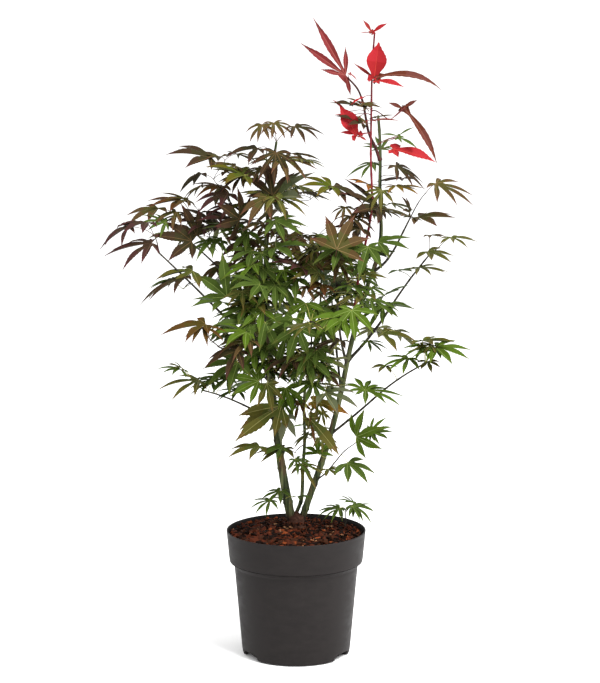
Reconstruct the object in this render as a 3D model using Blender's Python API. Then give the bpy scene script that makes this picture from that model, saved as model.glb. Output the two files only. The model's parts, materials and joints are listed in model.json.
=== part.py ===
"""A potted Japanese maple: three stems from one stool, their boughs and masses of leaves, and the pot.

Units are metres and +Z is up. The origin is the centre of the pot's underside. Headings are measured
from +X towards +Y, and the front of the plant faces -Y.
"""

import math
from collections import namedtuple

import bmesh
import bpy
from mathutils import Euler, Matrix, Vector, noise

GAP = 0.0003

# The pot, a thin moulded shell that is wider in a collar round its top.
POT_HEIGHT = 0.176
RIM_RADIUS = 0.097
COLLAR_RADIUS = 0.093
COLLAR_BOTTOM = 0.1334
SHOULDER_RADIUS = 0.086
SHOULDER_BOTTOM = 0.1240
FOOT_RADIUS = 0.0750
FOOT_ROUNDING = 0.004
FOOT_ROUNDING_TURNS = (30, 60, 90)
WALL = 0.0018
FLOOR_THICKNESS = 0.004
POT_SIDES = 36
NOTCH_HEADINGS = (90, 210, 330)
NOTCH_WIDTH = 0.034
NOTCH_HEIGHT = 0.008
NOTCH_DEPTH = 0.012
NOTCH_SEGMENTS = 16

# The bark-covered compost, crowned towards the middle.
SOIL_EDGE_HEIGHT = 0.1695
SOIL_CROWN_HEIGHT = 0.1765
SOIL_CROWN_RADIUS = 0.032

# The stool that the stems rise from.
STOOL_FLARE_RADIUS = 0.0185
STOOL_TOP_RADIUS = 0.0125
STOOL_HEIGHT = 0.021
STOOL_BREADTH = 1.15
STOOL_FLARE_POWER = 2
STOOL_RINGS = 5
STOOL_SIDES = 14
STEM_FOOT_HEIGHT = 0.194

# A limb bends at every section, and thins a little faster near its foot than a plain cone does.
LIMB_SECTION = 0.022
LIMB_FEWEST_SECTIONS = 4
LIMB_TAPER_POWER = 1.15

# A mass of leaves is a ball of rings, made uneven by noise of this size and number of lumps.
MASS_AROUND = 10
MASS_RINGS = 6
MASS_UNEVENNESS = 0.52
MASS_LUMPS = 1.9
MASS_SEED_SPACING = 7.3

SHARP_ANGLE = 40

FINISHES = {
    "pot_plastic": ((0.036, 0.034, 0.033), 0.45),
    "bark_compost": ((0.090, 0.034, 0.018), 0.95),
    "stem_bark": ((0.105, 0.120, 0.060), 0.65),
    "twig_bark": ((0.035, 0.020, 0.022), 0.60),
    "red_bark": ((0.230, 0.020, 0.022), 0.50),
    "green_leaf": ((0.065, 0.140, 0.020), 0.55),
    "bronze_leaf": ((0.070, 0.050, 0.028), 0.55),
    "red_leaf": ((0.620, 0.030, 0.035), 0.50),
}

Limb = namedtuple("Limb", "name parent foot headings rises length base_radius tip_radius sides")
Mass = namedtuple("Mass", "name leaf centre half_size heading tilt seed")

# A stem's foot is (x, y) on the stool. Its headings and rises, in degrees, are spaced evenly along it,
# and a rise over 90 leans back the other way.
STEMS = [
    Limb("left_stem", "stool", (-0.0072, 0.0), (180, 178, 182), (78, 84, 86, 93, 99),
         0.523, 0.0060, 0.0014, 8),
    Limb("middle_stem", "stool", (-0.0005, 0.009), (0, 330, 320), (62, 99, 88, 77, 77, 87, 94),
         0.379, 0.0029, 0.0011, 6),
    Limb("right_stem", "stool", (0.0092, 0.002), (0, 2, 0), (71, 71, 76, 79, 76, 69, 93, 89, 96),
         0.570, 0.0048, 0.0013, 8),
]

# A bough's foot is the fraction of the way up its parent.
BOUGHS = [
    Limb("second_leader", "left_stem", 0.809, (126, 90, 71), (82, 65, 84), 0.093, 0.0012, 0.0007, 6),
    Limb("red_shoot", "right_stem", 0.477, (340, 330, 290), (92, 80, 76, 94, 89, 89, 78),
         0.406, 0.0016, 0.0008, 6),
    Limb("dark_red_shoot", "right_stem", 0.895, (180, 178, 182), (69, 66, 85, 68, 39),
         0.122, 0.0013, 0.0008, 6),
    Limb("bough_low_left", "left_stem", 0.265, (208, 214, 212), (27, 27, 17), 0.127, 0.0013, 0.0008, 6),
    Limb("bough_front_left", "left_stem", 0.357, (238, 234, 230), (41, 28, 25), 0.137, 0.0013, 0.0008, 6),
    Limb("bough_far_left", "left_stem", 0.444, (192, 192, 190), (37, 46, 44), 0.210, 0.0017, 0.0009, 6),
    Limb("bough_upper_left", "left_stem", 0.544, (160, 158, 160), (38, 44, 37), 0.143, 0.0015, 0.0009, 6),
    Limb("bough_high_left", "left_stem", 0.637, (156, 150, 146), (52, 65, 68), 0.129, 0.0014, 0.0008, 6),
    Limb("bough_back_left", "left_stem", 0.340, (116, 112, 106), (44, 50, 56), 0.176, 0.0014, 0.0009, 6),
    Limb("bough_back_high", "left_stem", 0.580, (80, 76, 74), (46, 54, 62), 0.112, 0.0013, 0.0009, 6),
    Limb("bough_front", "middle_stem", 0.520, (280, 272, 266), (50, 44, 38), 0.136, 0.0012, 0.0008, 6),
    Limb("bough_low_right", "right_stem", 0.214, (342, 342, 344), (39, 43, 29), 0.171, 0.0014, 0.0009, 6),
    Limb("twig_low_right", "right_stem", 0.093, (320, 322, 324), (31, 53, 31), 0.094, 0.0009, 0.0006, 6),
    Limb("bough_right", "right_stem", 0.399, (14, 16, 16), (43, 56, 48), 0.184, 0.0017, 0.0009, 6),
    Limb("bough_inner_right", "right_stem", 0.392, (236, 256, 270), (62, 72, 73), 0.158, 0.0015, 0.0009, 6),
    Limb("bough_back_right", "right_stem", 0.323, (96, 98, 92), (44, 50, 56), 0.182, 0.0015, 0.0009, 6),
    Limb("bough_upper_right", "right_stem", 0.622, (334, 330, 322), (31, 61, 60), 0.097, 0.0016, 0.0009, 6),
    Limb("basal_shoot_left", "left_stem", 0.040, (200, 204, 208), (33, 18, -38), 0.036, 0.0010, 0.0007, 6),
    Limb("basal_shoot_right", "soil", (0.0684, 0.030), (40, 20, 350), (80, 84, 78), 0.024, 0.0010, 0.0007, 6),
]

# A mass of one colour of leaf is centred at a point, with its half length, half width and half depth,
# turned to a heading and tilted up along it.
MASSES = [
    Mass("leaves_left_top", "bronze_leaf", (-0.023, 0.000, 0.710), (0.060, 0.045, 0.036), 0, 0, 1),
    Mass("leaves_left_high", "bronze_leaf", (-0.106, 0.036, 0.664), (0.060, 0.040, 0.041), 170, 8, 2),
    Mass("leaves_left_leader", "bronze_leaf", (-0.023, -0.005, 0.615), (0.069, 0.050, 0.040), 0, -4, 3),
    Mass("leaves_far_left_tip", "bronze_leaf", (-0.214, -0.034, 0.578), (0.060, 0.036, 0.029), 180, 0, 4),
    Mass("leaves_far_left", "bronze_leaf", (-0.148, -0.022, 0.516), (0.062, 0.035, 0.026), 185, 4, 5),
    Mass("leaves_upper_left", "bronze_leaf", (-0.152, 0.040, 0.598), (0.078, 0.036, 0.039), 175, 4, 6),
    Mass("leaves_inner_left", "green_leaf", (-0.047, -0.036, 0.512), (0.053, 0.044, 0.048), 180, 0, 7),
    Mass("leaves_front_left", "bronze_leaf", (-0.111, -0.095, 0.458), (0.066, 0.035, 0.026), 195, 4, 8),
    Mass("leaves_low_left", "green_leaf", (-0.136, -0.062, 0.396), (0.061, 0.030, 0.022), 190, 2, 9),
    Mass("leaves_under_left", "green_leaf", (-0.041, -0.040, 0.406), (0.044, 0.030, 0.034), 180, 0, 10),
    Mass("leaves_foot_left", "bronze_leaf", (-0.051, -0.036, 0.330), (0.045, 0.022, 0.032), 180, -12, 11),
    Mass("leaves_centre_front", "green_leaf", (0.031, -0.070, 0.412), (0.042, 0.036, 0.044), 0, 0, 12),
    Mass("leaves_centre", "bronze_leaf", (0.026, -0.035, 0.572), (0.042, 0.034, 0.040), 0, 0, 13),
    Mass("leaves_centre_low", "green_leaf", (0.026, -0.012, 0.288), (0.030, 0.022, 0.042), 0, 0, 14),
    Mass("leaves_inner_right", "green_leaf", (0.073, -0.055, 0.535), (0.036, 0.036, 0.056), 0, 0, 15),
    Mass("leaves_right_leader", "bronze_leaf", (0.085, 0.010, 0.628), (0.068, 0.048, 0.038), 0, 0, 16),
    Mass("leaves_right_top", "bronze_leaf", (0.130, 0.016, 0.694), (0.055, 0.038, 0.022), 0, 0, 17),
    Mass("leaves_red_left", "red_leaf", (0.047, 0.001, 0.824), (0.039, 0.028, 0.052), 0, 0, 18),
    Mass("leaves_red_tip", "red_leaf", (0.104, -0.020, 0.846), (0.026, 0.026, 0.033), 0, 0, 19),
    Mass("leaves_red_right", "red_leaf", (0.144, -0.016, 0.802), (0.058, 0.028, 0.018), 0, 0, 20),
    Mass("leaves_red_cluster", "red_leaf", (0.076, -0.020, 0.750), (0.034, 0.028, 0.028), 0, 0, 21),
    Mass("leaves_dull_red", "red_leaf", (0.146, 0.002, 0.738), (0.060, 0.026, 0.022), 0, -32, 22),
    Mass("leaves_upper_right", "bronze_leaf", (0.177, -0.036, 0.629), (0.050, 0.034, 0.034), 340, 0, 23),
    Mass("leaves_right_tip", "bronze_leaf", (0.179, 0.038, 0.560), (0.058, 0.030, 0.026), 15, 4, 24),
    Mass("leaves_right", "green_leaf", (0.129, 0.012, 0.473), (0.035, 0.034, 0.042), 0, 0, 25),
    Mass("leaves_low_right_tip", "green_leaf", (0.171, -0.040, 0.434), (0.062, 0.030, 0.024), 345, 8, 26),
    Mass("leaves_low_right", "green_leaf", (0.111, -0.025, 0.383), (0.038, 0.027, 0.014), 340, 8, 27),
    Mass("leaves_twig_right", "green_leaf", (0.088, -0.040, 0.302), (0.036, 0.024, 0.048), 330, 0, 28),
    Mass("leaves_basal_left", "green_leaf", (-0.047, -0.015, 0.214), (0.030, 0.022, 0.014), 190, 0, 29),
    Mass("leaves_basal_right", "green_leaf", (0.074, 0.026, 0.202), (0.041, 0.024, 0.014), 0, 0, 30),
    Mass("leaves_back_left", "green_leaf", (-0.070, 0.118, 0.484), (0.050, 0.045, 0.052), 100, 0, 31),
    Mass("leaves_back_right", "green_leaf", (0.057, 0.126, 0.500), (0.050, 0.045, 0.050), 80, 0, 32),
    Mass("leaves_back_high", "bronze_leaf", (-0.016, 0.088, 0.598), (0.042, 0.038, 0.042), 90, 0, 33),
    Mass("leaves_front", "green_leaf", (0.022, -0.124, 0.482), (0.038, 0.034, 0.028), 270, 0, 34),
]


def clear_scene():
    for obj in list(bpy.data.objects):
        bpy.data.objects.remove(obj, do_unlink=True)


def make_materials():
    """One plain material for each finish, by name."""
    materials = {}
    for name, (colour, roughness) in FINISHES.items():
        material = bpy.data.materials.new(name)
        material.use_nodes = True
        surface = material.node_tree.nodes["Principled BSDF"]
        surface.inputs["Base Color"].default_value = (*colour, 1.0)
        surface.inputs["Roughness"].default_value = roughness
        surface.inputs["Metallic"].default_value = 0.0
        materials[name] = material
    return materials


def make_object(name, shape, material=None):
    """Turns a bmesh into an object. With no material it is a cutter, which isn't part of the plant."""
    bmesh.ops.recalc_face_normals(shape, faces=shape.faces)
    mesh = bpy.data.meshes.new(name)
    shape.to_mesh(mesh)
    shape.free()
    obj = bpy.data.objects.new(name, mesh)
    bpy.context.scene.collection.objects.link(obj)
    if material is None:
        obj.hide_render = True
        obj.display_type = "WIRE"
    else:
        mesh.materials.append(material)
        mesh.shade_smooth()
        mesh.set_sharp_from_angle(angle=math.radians(SHARP_ANGLE))
    return obj


def cut(obj, cutter):
    """Takes the cutter's shape out of the object."""
    boolean = obj.modifiers.new("cut_" + cutter.name, "BOOLEAN")
    boolean.operation = "DIFFERENCE"
    boolean.object = cutter


def between(keys, fraction):
    """The value at a fraction of the way along evenly spaced keys."""
    place = fraction * (len(keys) - 1)
    low = min(int(place), len(keys) - 2)
    return keys[low] + (keys[low + 1] - keys[low]) * (place - low)


def direction(heading, rise):
    heading = math.radians(heading)
    rise = math.radians(rise)
    level = math.cos(rise)
    return Vector((level * math.cos(heading), level * math.sin(heading), math.sin(rise)))


def limb_path(limb, start):
    """Points up a limb, each step turned a little to the heading and rise at that height."""
    steps = max(LIMB_FEWEST_SECTIONS, round(limb.length / LIMB_SECTION))
    points = [start]
    for step in range(steps):
        middle = (step + 0.5) / steps
        ahead = direction(between(limb.headings, middle), between(limb.rises, middle))
        points.append(points[-1] + ahead * limb.length / steps)
    return points


def along(points, fraction):
    """The point at a fraction of the way along evenly spaced points."""
    place = fraction * (len(points) - 1)
    low = min(int(place), len(points) - 2)
    return points[low].lerp(points[low + 1], place - low)


def limb_radius(limb, fraction):
    """A limb thins quickly above its foot and slowly towards its tip."""
    return limb.tip_radius + (limb.base_radius - limb.tip_radius) * (1 - fraction) ** LIMB_TAPER_POWER


def tube(points, radii, sides):
    """A closed tube with flat ends, whose rings stand square to the path."""
    shape = bmesh.new()
    rings = []
    side = Vector((1, 0, 0))
    for index, (point, radius) in enumerate(zip(points, radii)):
        ahead = points[min(index + 1, len(points) - 1)] - points[max(index - 1, 0)]
        ahead.normalize()
        side = (side - ahead * side.dot(ahead)).normalized()
        other = ahead.cross(side)
        ring = []
        for step in range(sides):
            turn = 2 * math.pi * step / sides
            ring.append(shape.verts.new(point + (side * math.cos(turn) + other * math.sin(turn)) * radius))
        rings.append(ring)
    for lower, upper in zip(rings, rings[1:]):
        for step in range(sides):
            after = (step + 1) % sides
            shape.faces.new((lower[step], lower[after], upper[after], upper[step]))
    shape.faces.new(rings[0])
    shape.faces.new(rings[-1])
    return shape


def turned(profile, sides):
    """A closed solid turned round Z from (radius, height) points that start and end on the axis."""
    shape = bmesh.new()
    rings = []
    for radius, height in profile:
        if radius == 0:
            rings.append([shape.verts.new((0, 0, height))])
            continue
        ring = []
        for step in range(sides):
            turn = 2 * math.pi * step / sides
            ring.append(shape.verts.new((radius * math.cos(turn), radius * math.sin(turn), height)))
        rings.append(ring)
    for lower, upper in zip(rings, rings[1:]):
        for step in range(sides):
            after = (step + 1) % sides
            corners = [lower[step % len(lower)], lower[after % len(lower)],
                       upper[after % len(upper)], upper[step % len(upper)]]
            shape.faces.new(list(dict.fromkeys(corners)))
    return shape


def outer_radius(height):
    """The radius of the pot's outside at a height on its body, below the shoulder."""
    return FOOT_RADIUS + (SHOULDER_RADIUS - FOOT_RADIUS) * height / SHOULDER_BOTTOM


def inner_profile(inset, top):
    """The pot's inside from the rim down, moved in by inset, up to a height."""
    return [
        (RIM_RADIUS - WALL - inset - (RIM_RADIUS - COLLAR_RADIUS) * (POT_HEIGHT - top)
         / (POT_HEIGHT - COLLAR_BOTTOM), top),
        (COLLAR_RADIUS - WALL - inset, COLLAR_BOTTOM),
        (SHOULDER_RADIUS - WALL - inset, SHOULDER_BOTTOM),
        (outer_radius(FLOOR_THICKNESS) - WALL - inset, FLOOR_THICKNESS + inset),
    ]


def make_pot(material):
    profile = [(0, 0), (FOOT_RADIUS - FOOT_ROUNDING, 0)]
    for turn in FOOT_ROUNDING_TURNS:
        profile.append((
            FOOT_RADIUS - FOOT_ROUNDING * (1 - math.sin(math.radians(turn))),
            FOOT_ROUNDING * (1 - math.cos(math.radians(turn))),
        ))
    profile += [
        (SHOULDER_RADIUS, SHOULDER_BOTTOM),
        (COLLAR_RADIUS, COLLAR_BOTTOM),
        (RIM_RADIUS, POT_HEIGHT),
    ]
    profile += inner_profile(0, POT_HEIGHT)
    profile.append((0, FLOOR_THICKNESS))
    pot = make_object("pot", turned(profile, POT_SIDES), material)
    for number, heading in enumerate(NOTCH_HEADINGS):
        cut(pot, drainage_notch(number, heading))
    return pot


def drainage_notch(number, heading):
    """The cutter of one low arch through the foot of the pot's wall."""
    shape = bmesh.new()
    bmesh.ops.create_cone(shape, cap_ends=True, segments=NOTCH_SEGMENTS, radius1=NOTCH_WIDTH / 2,
                          radius2=NOTCH_WIDTH / 2, depth=2 * NOTCH_DEPTH)
    squash = Matrix.Diagonal((NOTCH_HEIGHT / (NOTCH_WIDTH / 2), 1, 1, 1))
    lay_down = Euler((0, math.radians(90), 0)).to_matrix().to_4x4()
    turn = Euler((0, 0, math.radians(heading))).to_matrix().to_4x4()
    outward = Matrix.Translation((FOOT_RADIUS, 0, 0))
    bmesh.ops.transform(shape, matrix=turn @ outward @ lay_down @ squash, verts=shape.verts)
    return make_object(f"notch_{number}", shape)


def make_soil(material):
    """The root ball's compost, a clearance inside the pot, with a flat crown under the stool."""
    profile = [(0, FLOOR_THICKNESS + GAP)]
    profile += reversed(inner_profile(GAP, SOIL_EDGE_HEIGHT))
    profile += [(SOIL_CROWN_RADIUS, SOIL_CROWN_HEIGHT), (0, SOIL_CROWN_HEIGHT)]
    return make_object("soil", turned(profile, POT_SIDES), material)


def stool_shape(grow):
    """The flared woody foot, cut flat where it meets the compost."""
    bottom = SOIL_CROWN_HEIGHT + GAP
    points = []
    radii = []
    for ring in range(STOOL_RINGS):
        fraction = ring / (STOOL_RINGS - 1)
        points.append(Vector((0, 0, bottom + STOOL_HEIGHT * fraction)))
        flare = (1 - fraction) ** STOOL_FLARE_POWER
        radii.append(STOOL_TOP_RADIUS + (STOOL_FLARE_RADIUS - STOOL_TOP_RADIUS) * flare + grow)
    points[-1].z += grow
    shape = tube(points, radii, STOOL_SIDES)
    bmesh.ops.scale(shape, vec=(STOOL_BREADTH, 1, 1), verts=shape.verts)
    return shape


def soil_height(radius):
    """The height of the compost's crowned top at a radius."""
    slope = (SOIL_CROWN_HEIGHT - SOIL_EDGE_HEIGHT) / (RIM_RADIUS - SOIL_CROWN_RADIUS)
    return SOIL_CROWN_HEIGHT - slope * max(0, radius - SOIL_CROWN_RADIUS)


def start_of(limb, paths):
    if limb.parent == "stool":
        return Vector((*limb.foot, STEM_FOOT_HEIGHT))
    if limb.parent == "soil":
        inner_edge = math.hypot(*limb.foot) - limb.base_radius
        return Vector((*limb.foot, soil_height(inner_edge) + GAP))
    return along(paths[limb.parent], limb.foot)


def limb_shape(limb, points, grow):
    """A limb, or with a growth the larger shape that makes room for it."""
    radii = [limb_radius(limb, index / (len(points) - 1)) + grow for index in range(len(points))]
    points = list(points)
    if grow:
        points[-1] = points[-1] + (points[-1] - points[-2]).normalized() * grow
    return tube(points, radii, limb.sides)


def mass_points(mass, grow):
    """Rings of points over an uneven pad, from its lowest to its highest."""
    rows = []
    for ring in range(MASS_RINGS + 1):
        polar = math.pi * ring / MASS_RINGS
        count = 1 if ring in (0, MASS_RINGS) else MASS_AROUND
        row = []
        for step in range(count):
            turn = 2 * math.pi * (step + 0.5 * (ring % 2)) / MASS_AROUND
            out = Vector((
                math.sin(polar) * math.cos(turn),
                math.sin(polar) * math.sin(turn),
                -math.cos(polar),
            ))
            uneven = noise.noise(out * MASS_LUMPS + Vector((mass.seed * MASS_SEED_SPACING, 0, 0)))
            row.append(out * (1 + MASS_UNEVENNESS * uneven))
        rows.append(row)
    lowest = [min(point[axis] for row in rows for point in row) for axis in range(3)]
    highest = [max(point[axis] for row in rows for point in row) for axis in range(3)]
    turn = Euler((0, -math.radians(mass.tilt), math.radians(mass.heading))).to_matrix()
    for row in rows:
        for index, point in enumerate(row):
            local = Vector([
                (2 * (point[axis] - lowest[axis]) / (highest[axis] - lowest[axis]) - 1)
                * mass.half_size[axis]
                for axis in range(3)
            ])
            local += local.normalized() * grow
            row[index] = Vector(mass.centre) + turn @ local
    return rows


def mass_shape(mass, grow):
    shape = bmesh.new()
    rows = [[shape.verts.new(point) for point in row] for row in mass_points(mass, grow)]
    for lower, upper in zip(rows, rows[1:]):
        for step in range(MASS_AROUND):
            after = (step + 1) % MASS_AROUND
            corners = [lower[step % len(lower)], lower[after % len(lower)],
                       upper[after % len(upper)], upper[step % len(upper)]]
            shape.faces.new(list(dict.fromkeys(corners)))
    bmesh.ops.triangulate(shape, faces=shape.faces)
    return shape


def near(first, second, margin):
    """True where the boxes round two objects come within a margin of each other."""
    for axis in range(3):
        low = [min(vertex.co[axis] for vertex in obj.data.vertices) for obj in (first, second)]
        high = [max(vertex.co[axis] for vertex in obj.data.vertices) for obj in (first, second)]
        if low[0] > high[1] + margin or low[1] > high[0] + margin:
            return False
    return True


def bark_of(limb):
    if limb.name.endswith("stem"):
        return "stem_bark"
    return "red_bark" if "red" in limb.name else "twig_bark"


def main():
    """Makes each piece in turn, cut by the room of every earlier piece that it meets."""
    clear_scene()
    materials = make_materials()
    make_pot(materials["pot_plastic"])
    make_soil(materials["bark_compost"])
    make_object("stool", stool_shape(0), materials["stem_bark"])
    room_for_stool = make_object("room_for_stool", stool_shape(GAP))
    paths = {}
    rooms = {}
    for limb in STEMS + BOUGHS:
        points = limb_path(limb, start_of(limb, paths))
        paths[limb.name] = points
        obj = make_object(limb.name, limb_shape(limb, points, 0), materials[bark_of(limb)])
        if limb.parent == "stool":
            cut(obj, room_for_stool)
        if limb.parent in rooms:
            cut(obj, rooms[limb.parent])
        rooms[limb.name] = make_object("room_for_" + limb.name, limb_shape(limb, points, GAP))
    for mass in MASSES:
        obj = make_object(mass.name, mass_shape(mass, 0), materials[mass.leaf])
        for room in rooms.values():
            if near(obj, room, GAP):
                cut(obj, room)
        rooms[mass.name] = make_object("room_for_" + mass.name, mass_shape(mass, GAP))


main()
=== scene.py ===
"""The looks of a potted Japanese maple in autumn colour: bark, twigs, leaves, compost and pot.

Units are metres and +Z is up, unless a name ends in _MM or a comment says mm. Headings are measured from
+X towards +Y, and the front of the plant faces -Y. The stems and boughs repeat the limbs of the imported
solids. Each mass of leaves is opened out into leaves on twigs, which grow on from the nearest wood.
"""

import json
import math
from collections import namedtuple

import bpy
import numpy as np
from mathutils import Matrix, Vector, noise

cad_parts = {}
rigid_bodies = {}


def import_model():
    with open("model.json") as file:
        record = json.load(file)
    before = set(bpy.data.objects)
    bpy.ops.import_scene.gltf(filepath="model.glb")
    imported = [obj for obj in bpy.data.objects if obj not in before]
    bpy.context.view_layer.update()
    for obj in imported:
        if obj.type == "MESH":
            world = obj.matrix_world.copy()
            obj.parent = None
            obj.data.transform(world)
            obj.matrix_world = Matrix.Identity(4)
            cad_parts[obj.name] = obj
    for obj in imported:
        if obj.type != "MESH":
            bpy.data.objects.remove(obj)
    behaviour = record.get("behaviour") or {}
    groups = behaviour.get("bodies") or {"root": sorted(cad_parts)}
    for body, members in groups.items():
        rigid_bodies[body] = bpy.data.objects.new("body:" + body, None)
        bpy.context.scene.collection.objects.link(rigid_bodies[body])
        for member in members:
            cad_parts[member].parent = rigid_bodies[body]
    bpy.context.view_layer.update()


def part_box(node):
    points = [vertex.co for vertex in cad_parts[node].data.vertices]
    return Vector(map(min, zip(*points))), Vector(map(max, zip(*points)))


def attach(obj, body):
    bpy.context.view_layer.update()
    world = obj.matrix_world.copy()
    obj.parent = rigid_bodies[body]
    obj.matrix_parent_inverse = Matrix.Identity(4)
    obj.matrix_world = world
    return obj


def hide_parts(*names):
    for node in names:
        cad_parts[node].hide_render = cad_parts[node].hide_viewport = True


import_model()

SEED = 1741
UP = np.array((0.0, 0.0, 1.0))
DOWN = -UP
MM = 0.001

# The camera stands level with the crown, three metres off, and looks a little down.
CAMERA_PLACE = (0.0054, -3.0, 0.913)
CAMERA_DOWN = 8.95
CAMERA_LENS = 116.5
CAMERA_SENSOR = 36

# A pale floor to the horizon and a white sky, with two soft lamps: name, place, size and watts.
FLOOR_REACH = 60.0
FLOOR_COLOUR = (0.98, 0.98, 0.98)
SKY_STRENGTH = 1.32
LAMPS = (("key", (1.3, -1.5, 2.4), 1.2, 125), ("side", (2.2, 0.3, 0.9), 2.2, 22))
LAMP_AIM = (0, 0, 0.45)

# The pot's sizes, from the outside in.
POT_HEIGHT = 0.176
RIM_RADIUS = 0.097
COLLAR_RADIUS = 0.093
COLLAR_BOTTOM = 0.1334
SHOULDER_RADIUS = 0.086
SHOULDER_BOTTOM = 0.1240
SHOULDER_SPLAY = 2.4
FOOT_RADIUS = 0.0750
FOOT_ROUNDING = 0.004
POT_WALL = 0.0018
POT_FLOOR = 0.004
POT_FLOOR_TOP = 2.5 * POT_FLOOR
POT_SIDES = 240
POT_SHARP_ANGLE = 38
LIP_ROUNDING = 0.0009
COLLAR_ROUNDING = 0.0012
GROOVE_DEPTH = 0.0005
GROOVE_HEIGHT = 0.0010
NOTCH_HEADINGS = (90, 210, 330)
NOTCH_WIDTH = 0.040
NOTCH_HEIGHT = 0.0095
NOTCH_DEPTH = 0.012
PAD_HEADINGS = (30, 150, 270)
PAD_WIDTH = 0.030
PAD_STEP = 0.0012

# The compost in the pot: a crowned top with crumbs in it. Its side lies a little inside the pot's wall, as
# pairs of how far in and how far down below its edge.
SOIL_EDGE_HEIGHT = 0.1695
SOIL_CROWN_HEIGHT = 0.1765
SOIL_CROWN_RADIUS = 0.032
SOIL_SINK = 0.0035
SOIL_GAP = 0.0014
SOIL_SIDE = ((0.001, 0.02), (0.0006, 0.008))
SOIL_INNERMOST = 0.001
SOIL_SIDES = 120
SOIL_RINGS = 46
SOIL_LUMPS = 140
SOIL_RELIEF = 0.0022
CRUMB_DEPTH = 0.006

# The bark chips that lie on it, coarser to one side, and the first few that lie against the stool.
CHIP_COUNT = 3400
CHIP_REACH = 0.0925
CHIP_LENGTHS = (0.0030, 0.0190)
CHIP_LENGTH_POWER = 1.5
CHIP_EDGE_SHARE = 0.4
CHIP_BREADTHS = (0.45, 0.85)
CHIP_DEPTHS = (0.22, 0.5)
CHIP_UNEVENNESS = 0.16
CHIP_TILT = 24
CHIP_ROLL = 0.25
CHIP_LIFT = (-0.0022, 0.0018)
CHIP_COARSENESS = 0.55
CHIP_COARSE_RANGE = 0.45
CHIP_COARSE_HEADING = math.radians(225)
CHIP_INNER_RADIUS = 0.06
CHIP_INNER_RISE = 0.008
CHIP_OUTER_RISE = 0.004
STOOL_CHIPS = 170
STOOL_CHIP_LENGTHS = (0.0025, 0.0065)
STOOL_CHIP_REACH = 0.62
STOOL_CHIP_POWER = 1.3
STOOL_CHIP_GAP = 0.0004
# A chip is an icosahedron of about one unit in radius, flattened and made uneven.
GOLDEN = (1 + math.sqrt(5)) / 2
CHIP_CORNERS = np.array([(-1, GOLDEN, 0), (1, GOLDEN, 0), (-1, -GOLDEN, 0), (1, -GOLDEN, 0),
                         (0, -1, GOLDEN), (0, 1, GOLDEN), (0, -1, -GOLDEN), (0, 1, -GOLDEN),
                         (GOLDEN, 0, -1), (GOLDEN, 0, 1), (-GOLDEN, 0, -1), (-GOLDEN, 0, 1)]) / 1.9
CHIP_FACES = ((0, 11, 5), (0, 5, 1), (0, 1, 7), (0, 7, 10), (0, 10, 11), (1, 5, 9), (5, 11, 4), (11, 10, 2),
              (10, 7, 6), (7, 1, 8), (3, 9, 4), (3, 4, 2), (3, 2, 6), (3, 6, 8), (3, 8, 9), (4, 9, 5),
              (2, 4, 11), (6, 2, 10), (8, 6, 7), (9, 8, 1))

# The stool that the stems rise from.
STOOL_FLARE_RADIUS = 0.0185
STOOL_TOP_RADIUS = 0.0125
STOOL_HEIGHT = 0.021
STOOL_BOTTOM = SOIL_CROWN_HEIGHT - 0.001
STOOL_INSET = 0.001
STOOL_RINGS = 26
STOOL_SIDES = 48
STOOL_RELIEF = 0.0022
STOOL_TOP_ROUNDING = (0.96, 0.86, 0.66)
# The lumps of the stool, broad and fine: how many around and along, where they start, and their strength.
STOOL_LUMPS = ((1.6, 2.5, 4, 1), (5, 6, 0, 0.5))
STEM_FOOT_HEIGHT = 0.194
STEM_ROOT = np.array((0.0, 0.0, 0.178))
STEM_ROOT_SPREAD = 0.25
STEM_BROWN_TOP = 0.206
STEM_BROWN_BOTTOM = 0.193

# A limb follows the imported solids' sections, drawn as a smooth curve with a ring at every step.
LIMB_SECTION = 0.022
LIMB_FEWEST_SECTIONS = 4
LIMB_TAPER_POWER = 1.15
LIMB_RING_STEP = 0.0016
STEM_SIDES = 20
BOUGH_SIDES = 12
NODE_SPACING = 0.037
FIRST_NODES = (0.5, 1.0)
NODE_GAPS = (0.7, 1.3)
NODE_SWELL = 0.16
NODE_LENGTH = 0.0022
JOINT_SWELL = 0.7
JOINT_LENGTH = 0.005
BARK_RELIEF = 0.055
BARK_FURROWS = 5
BARK_FURROW_DRIFT = 14
BARK_FURROW_SWING = 3
BARK_LUMPS = 90
BARK_SHARES = (0.5, 1.1)
# How far a tube's foot and tip stand out from its first and last rings, in radii.
TUBE_ENDS = (0.3, 0.9)

# Twigs and stalks grow from every fourth ring of a limb above its bare foot. The best ring is near and
# below the leaf, on wood of the leaf's own colour.
GROWTH_STEP = 4
STEM_BARE_SHARE = 0.3
BOUGH_BARE_SHARE = 0.15
ABOVE_COST = 0.45
OTHER_COLOUR_COST = 0.08

# A twig leaves along its wood, arrives along the way it is told and wobbles between, to a side that turns
# with its length. Each of its knots has a place along it, a swelling and a length.
TWIG_RADII = (0.00085, 0.00055)
TWIG_MOST_SHARE = 0.85
TWIG_SIDES = 8
TWIG_STEP = 0.006
TWIG_RING_STEP = 0.0022
TWIG_SHORTEST = 0.008
TWIG_ALONG_WOOD = 0.7
TWIG_LIFT = 0.15
TWIG_PULLS = (0.9, 0.8)
TWIG_AHEAD = 0.4
TWIG_END_LIFT = 0.3
PAIR_TWIG_LIFT = 0.01
TWIG_WOBBLE = 0.03
TWIG_WOBBLE_TURNS = (71, 53)
TWIG_WOBBLE_RISE = 0.4
TWIG_KNOTS = ((1.0, 0.35, 0.002), (0.0, 0.30, 0.002), (0.55, 0.30, 0.0018))

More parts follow.
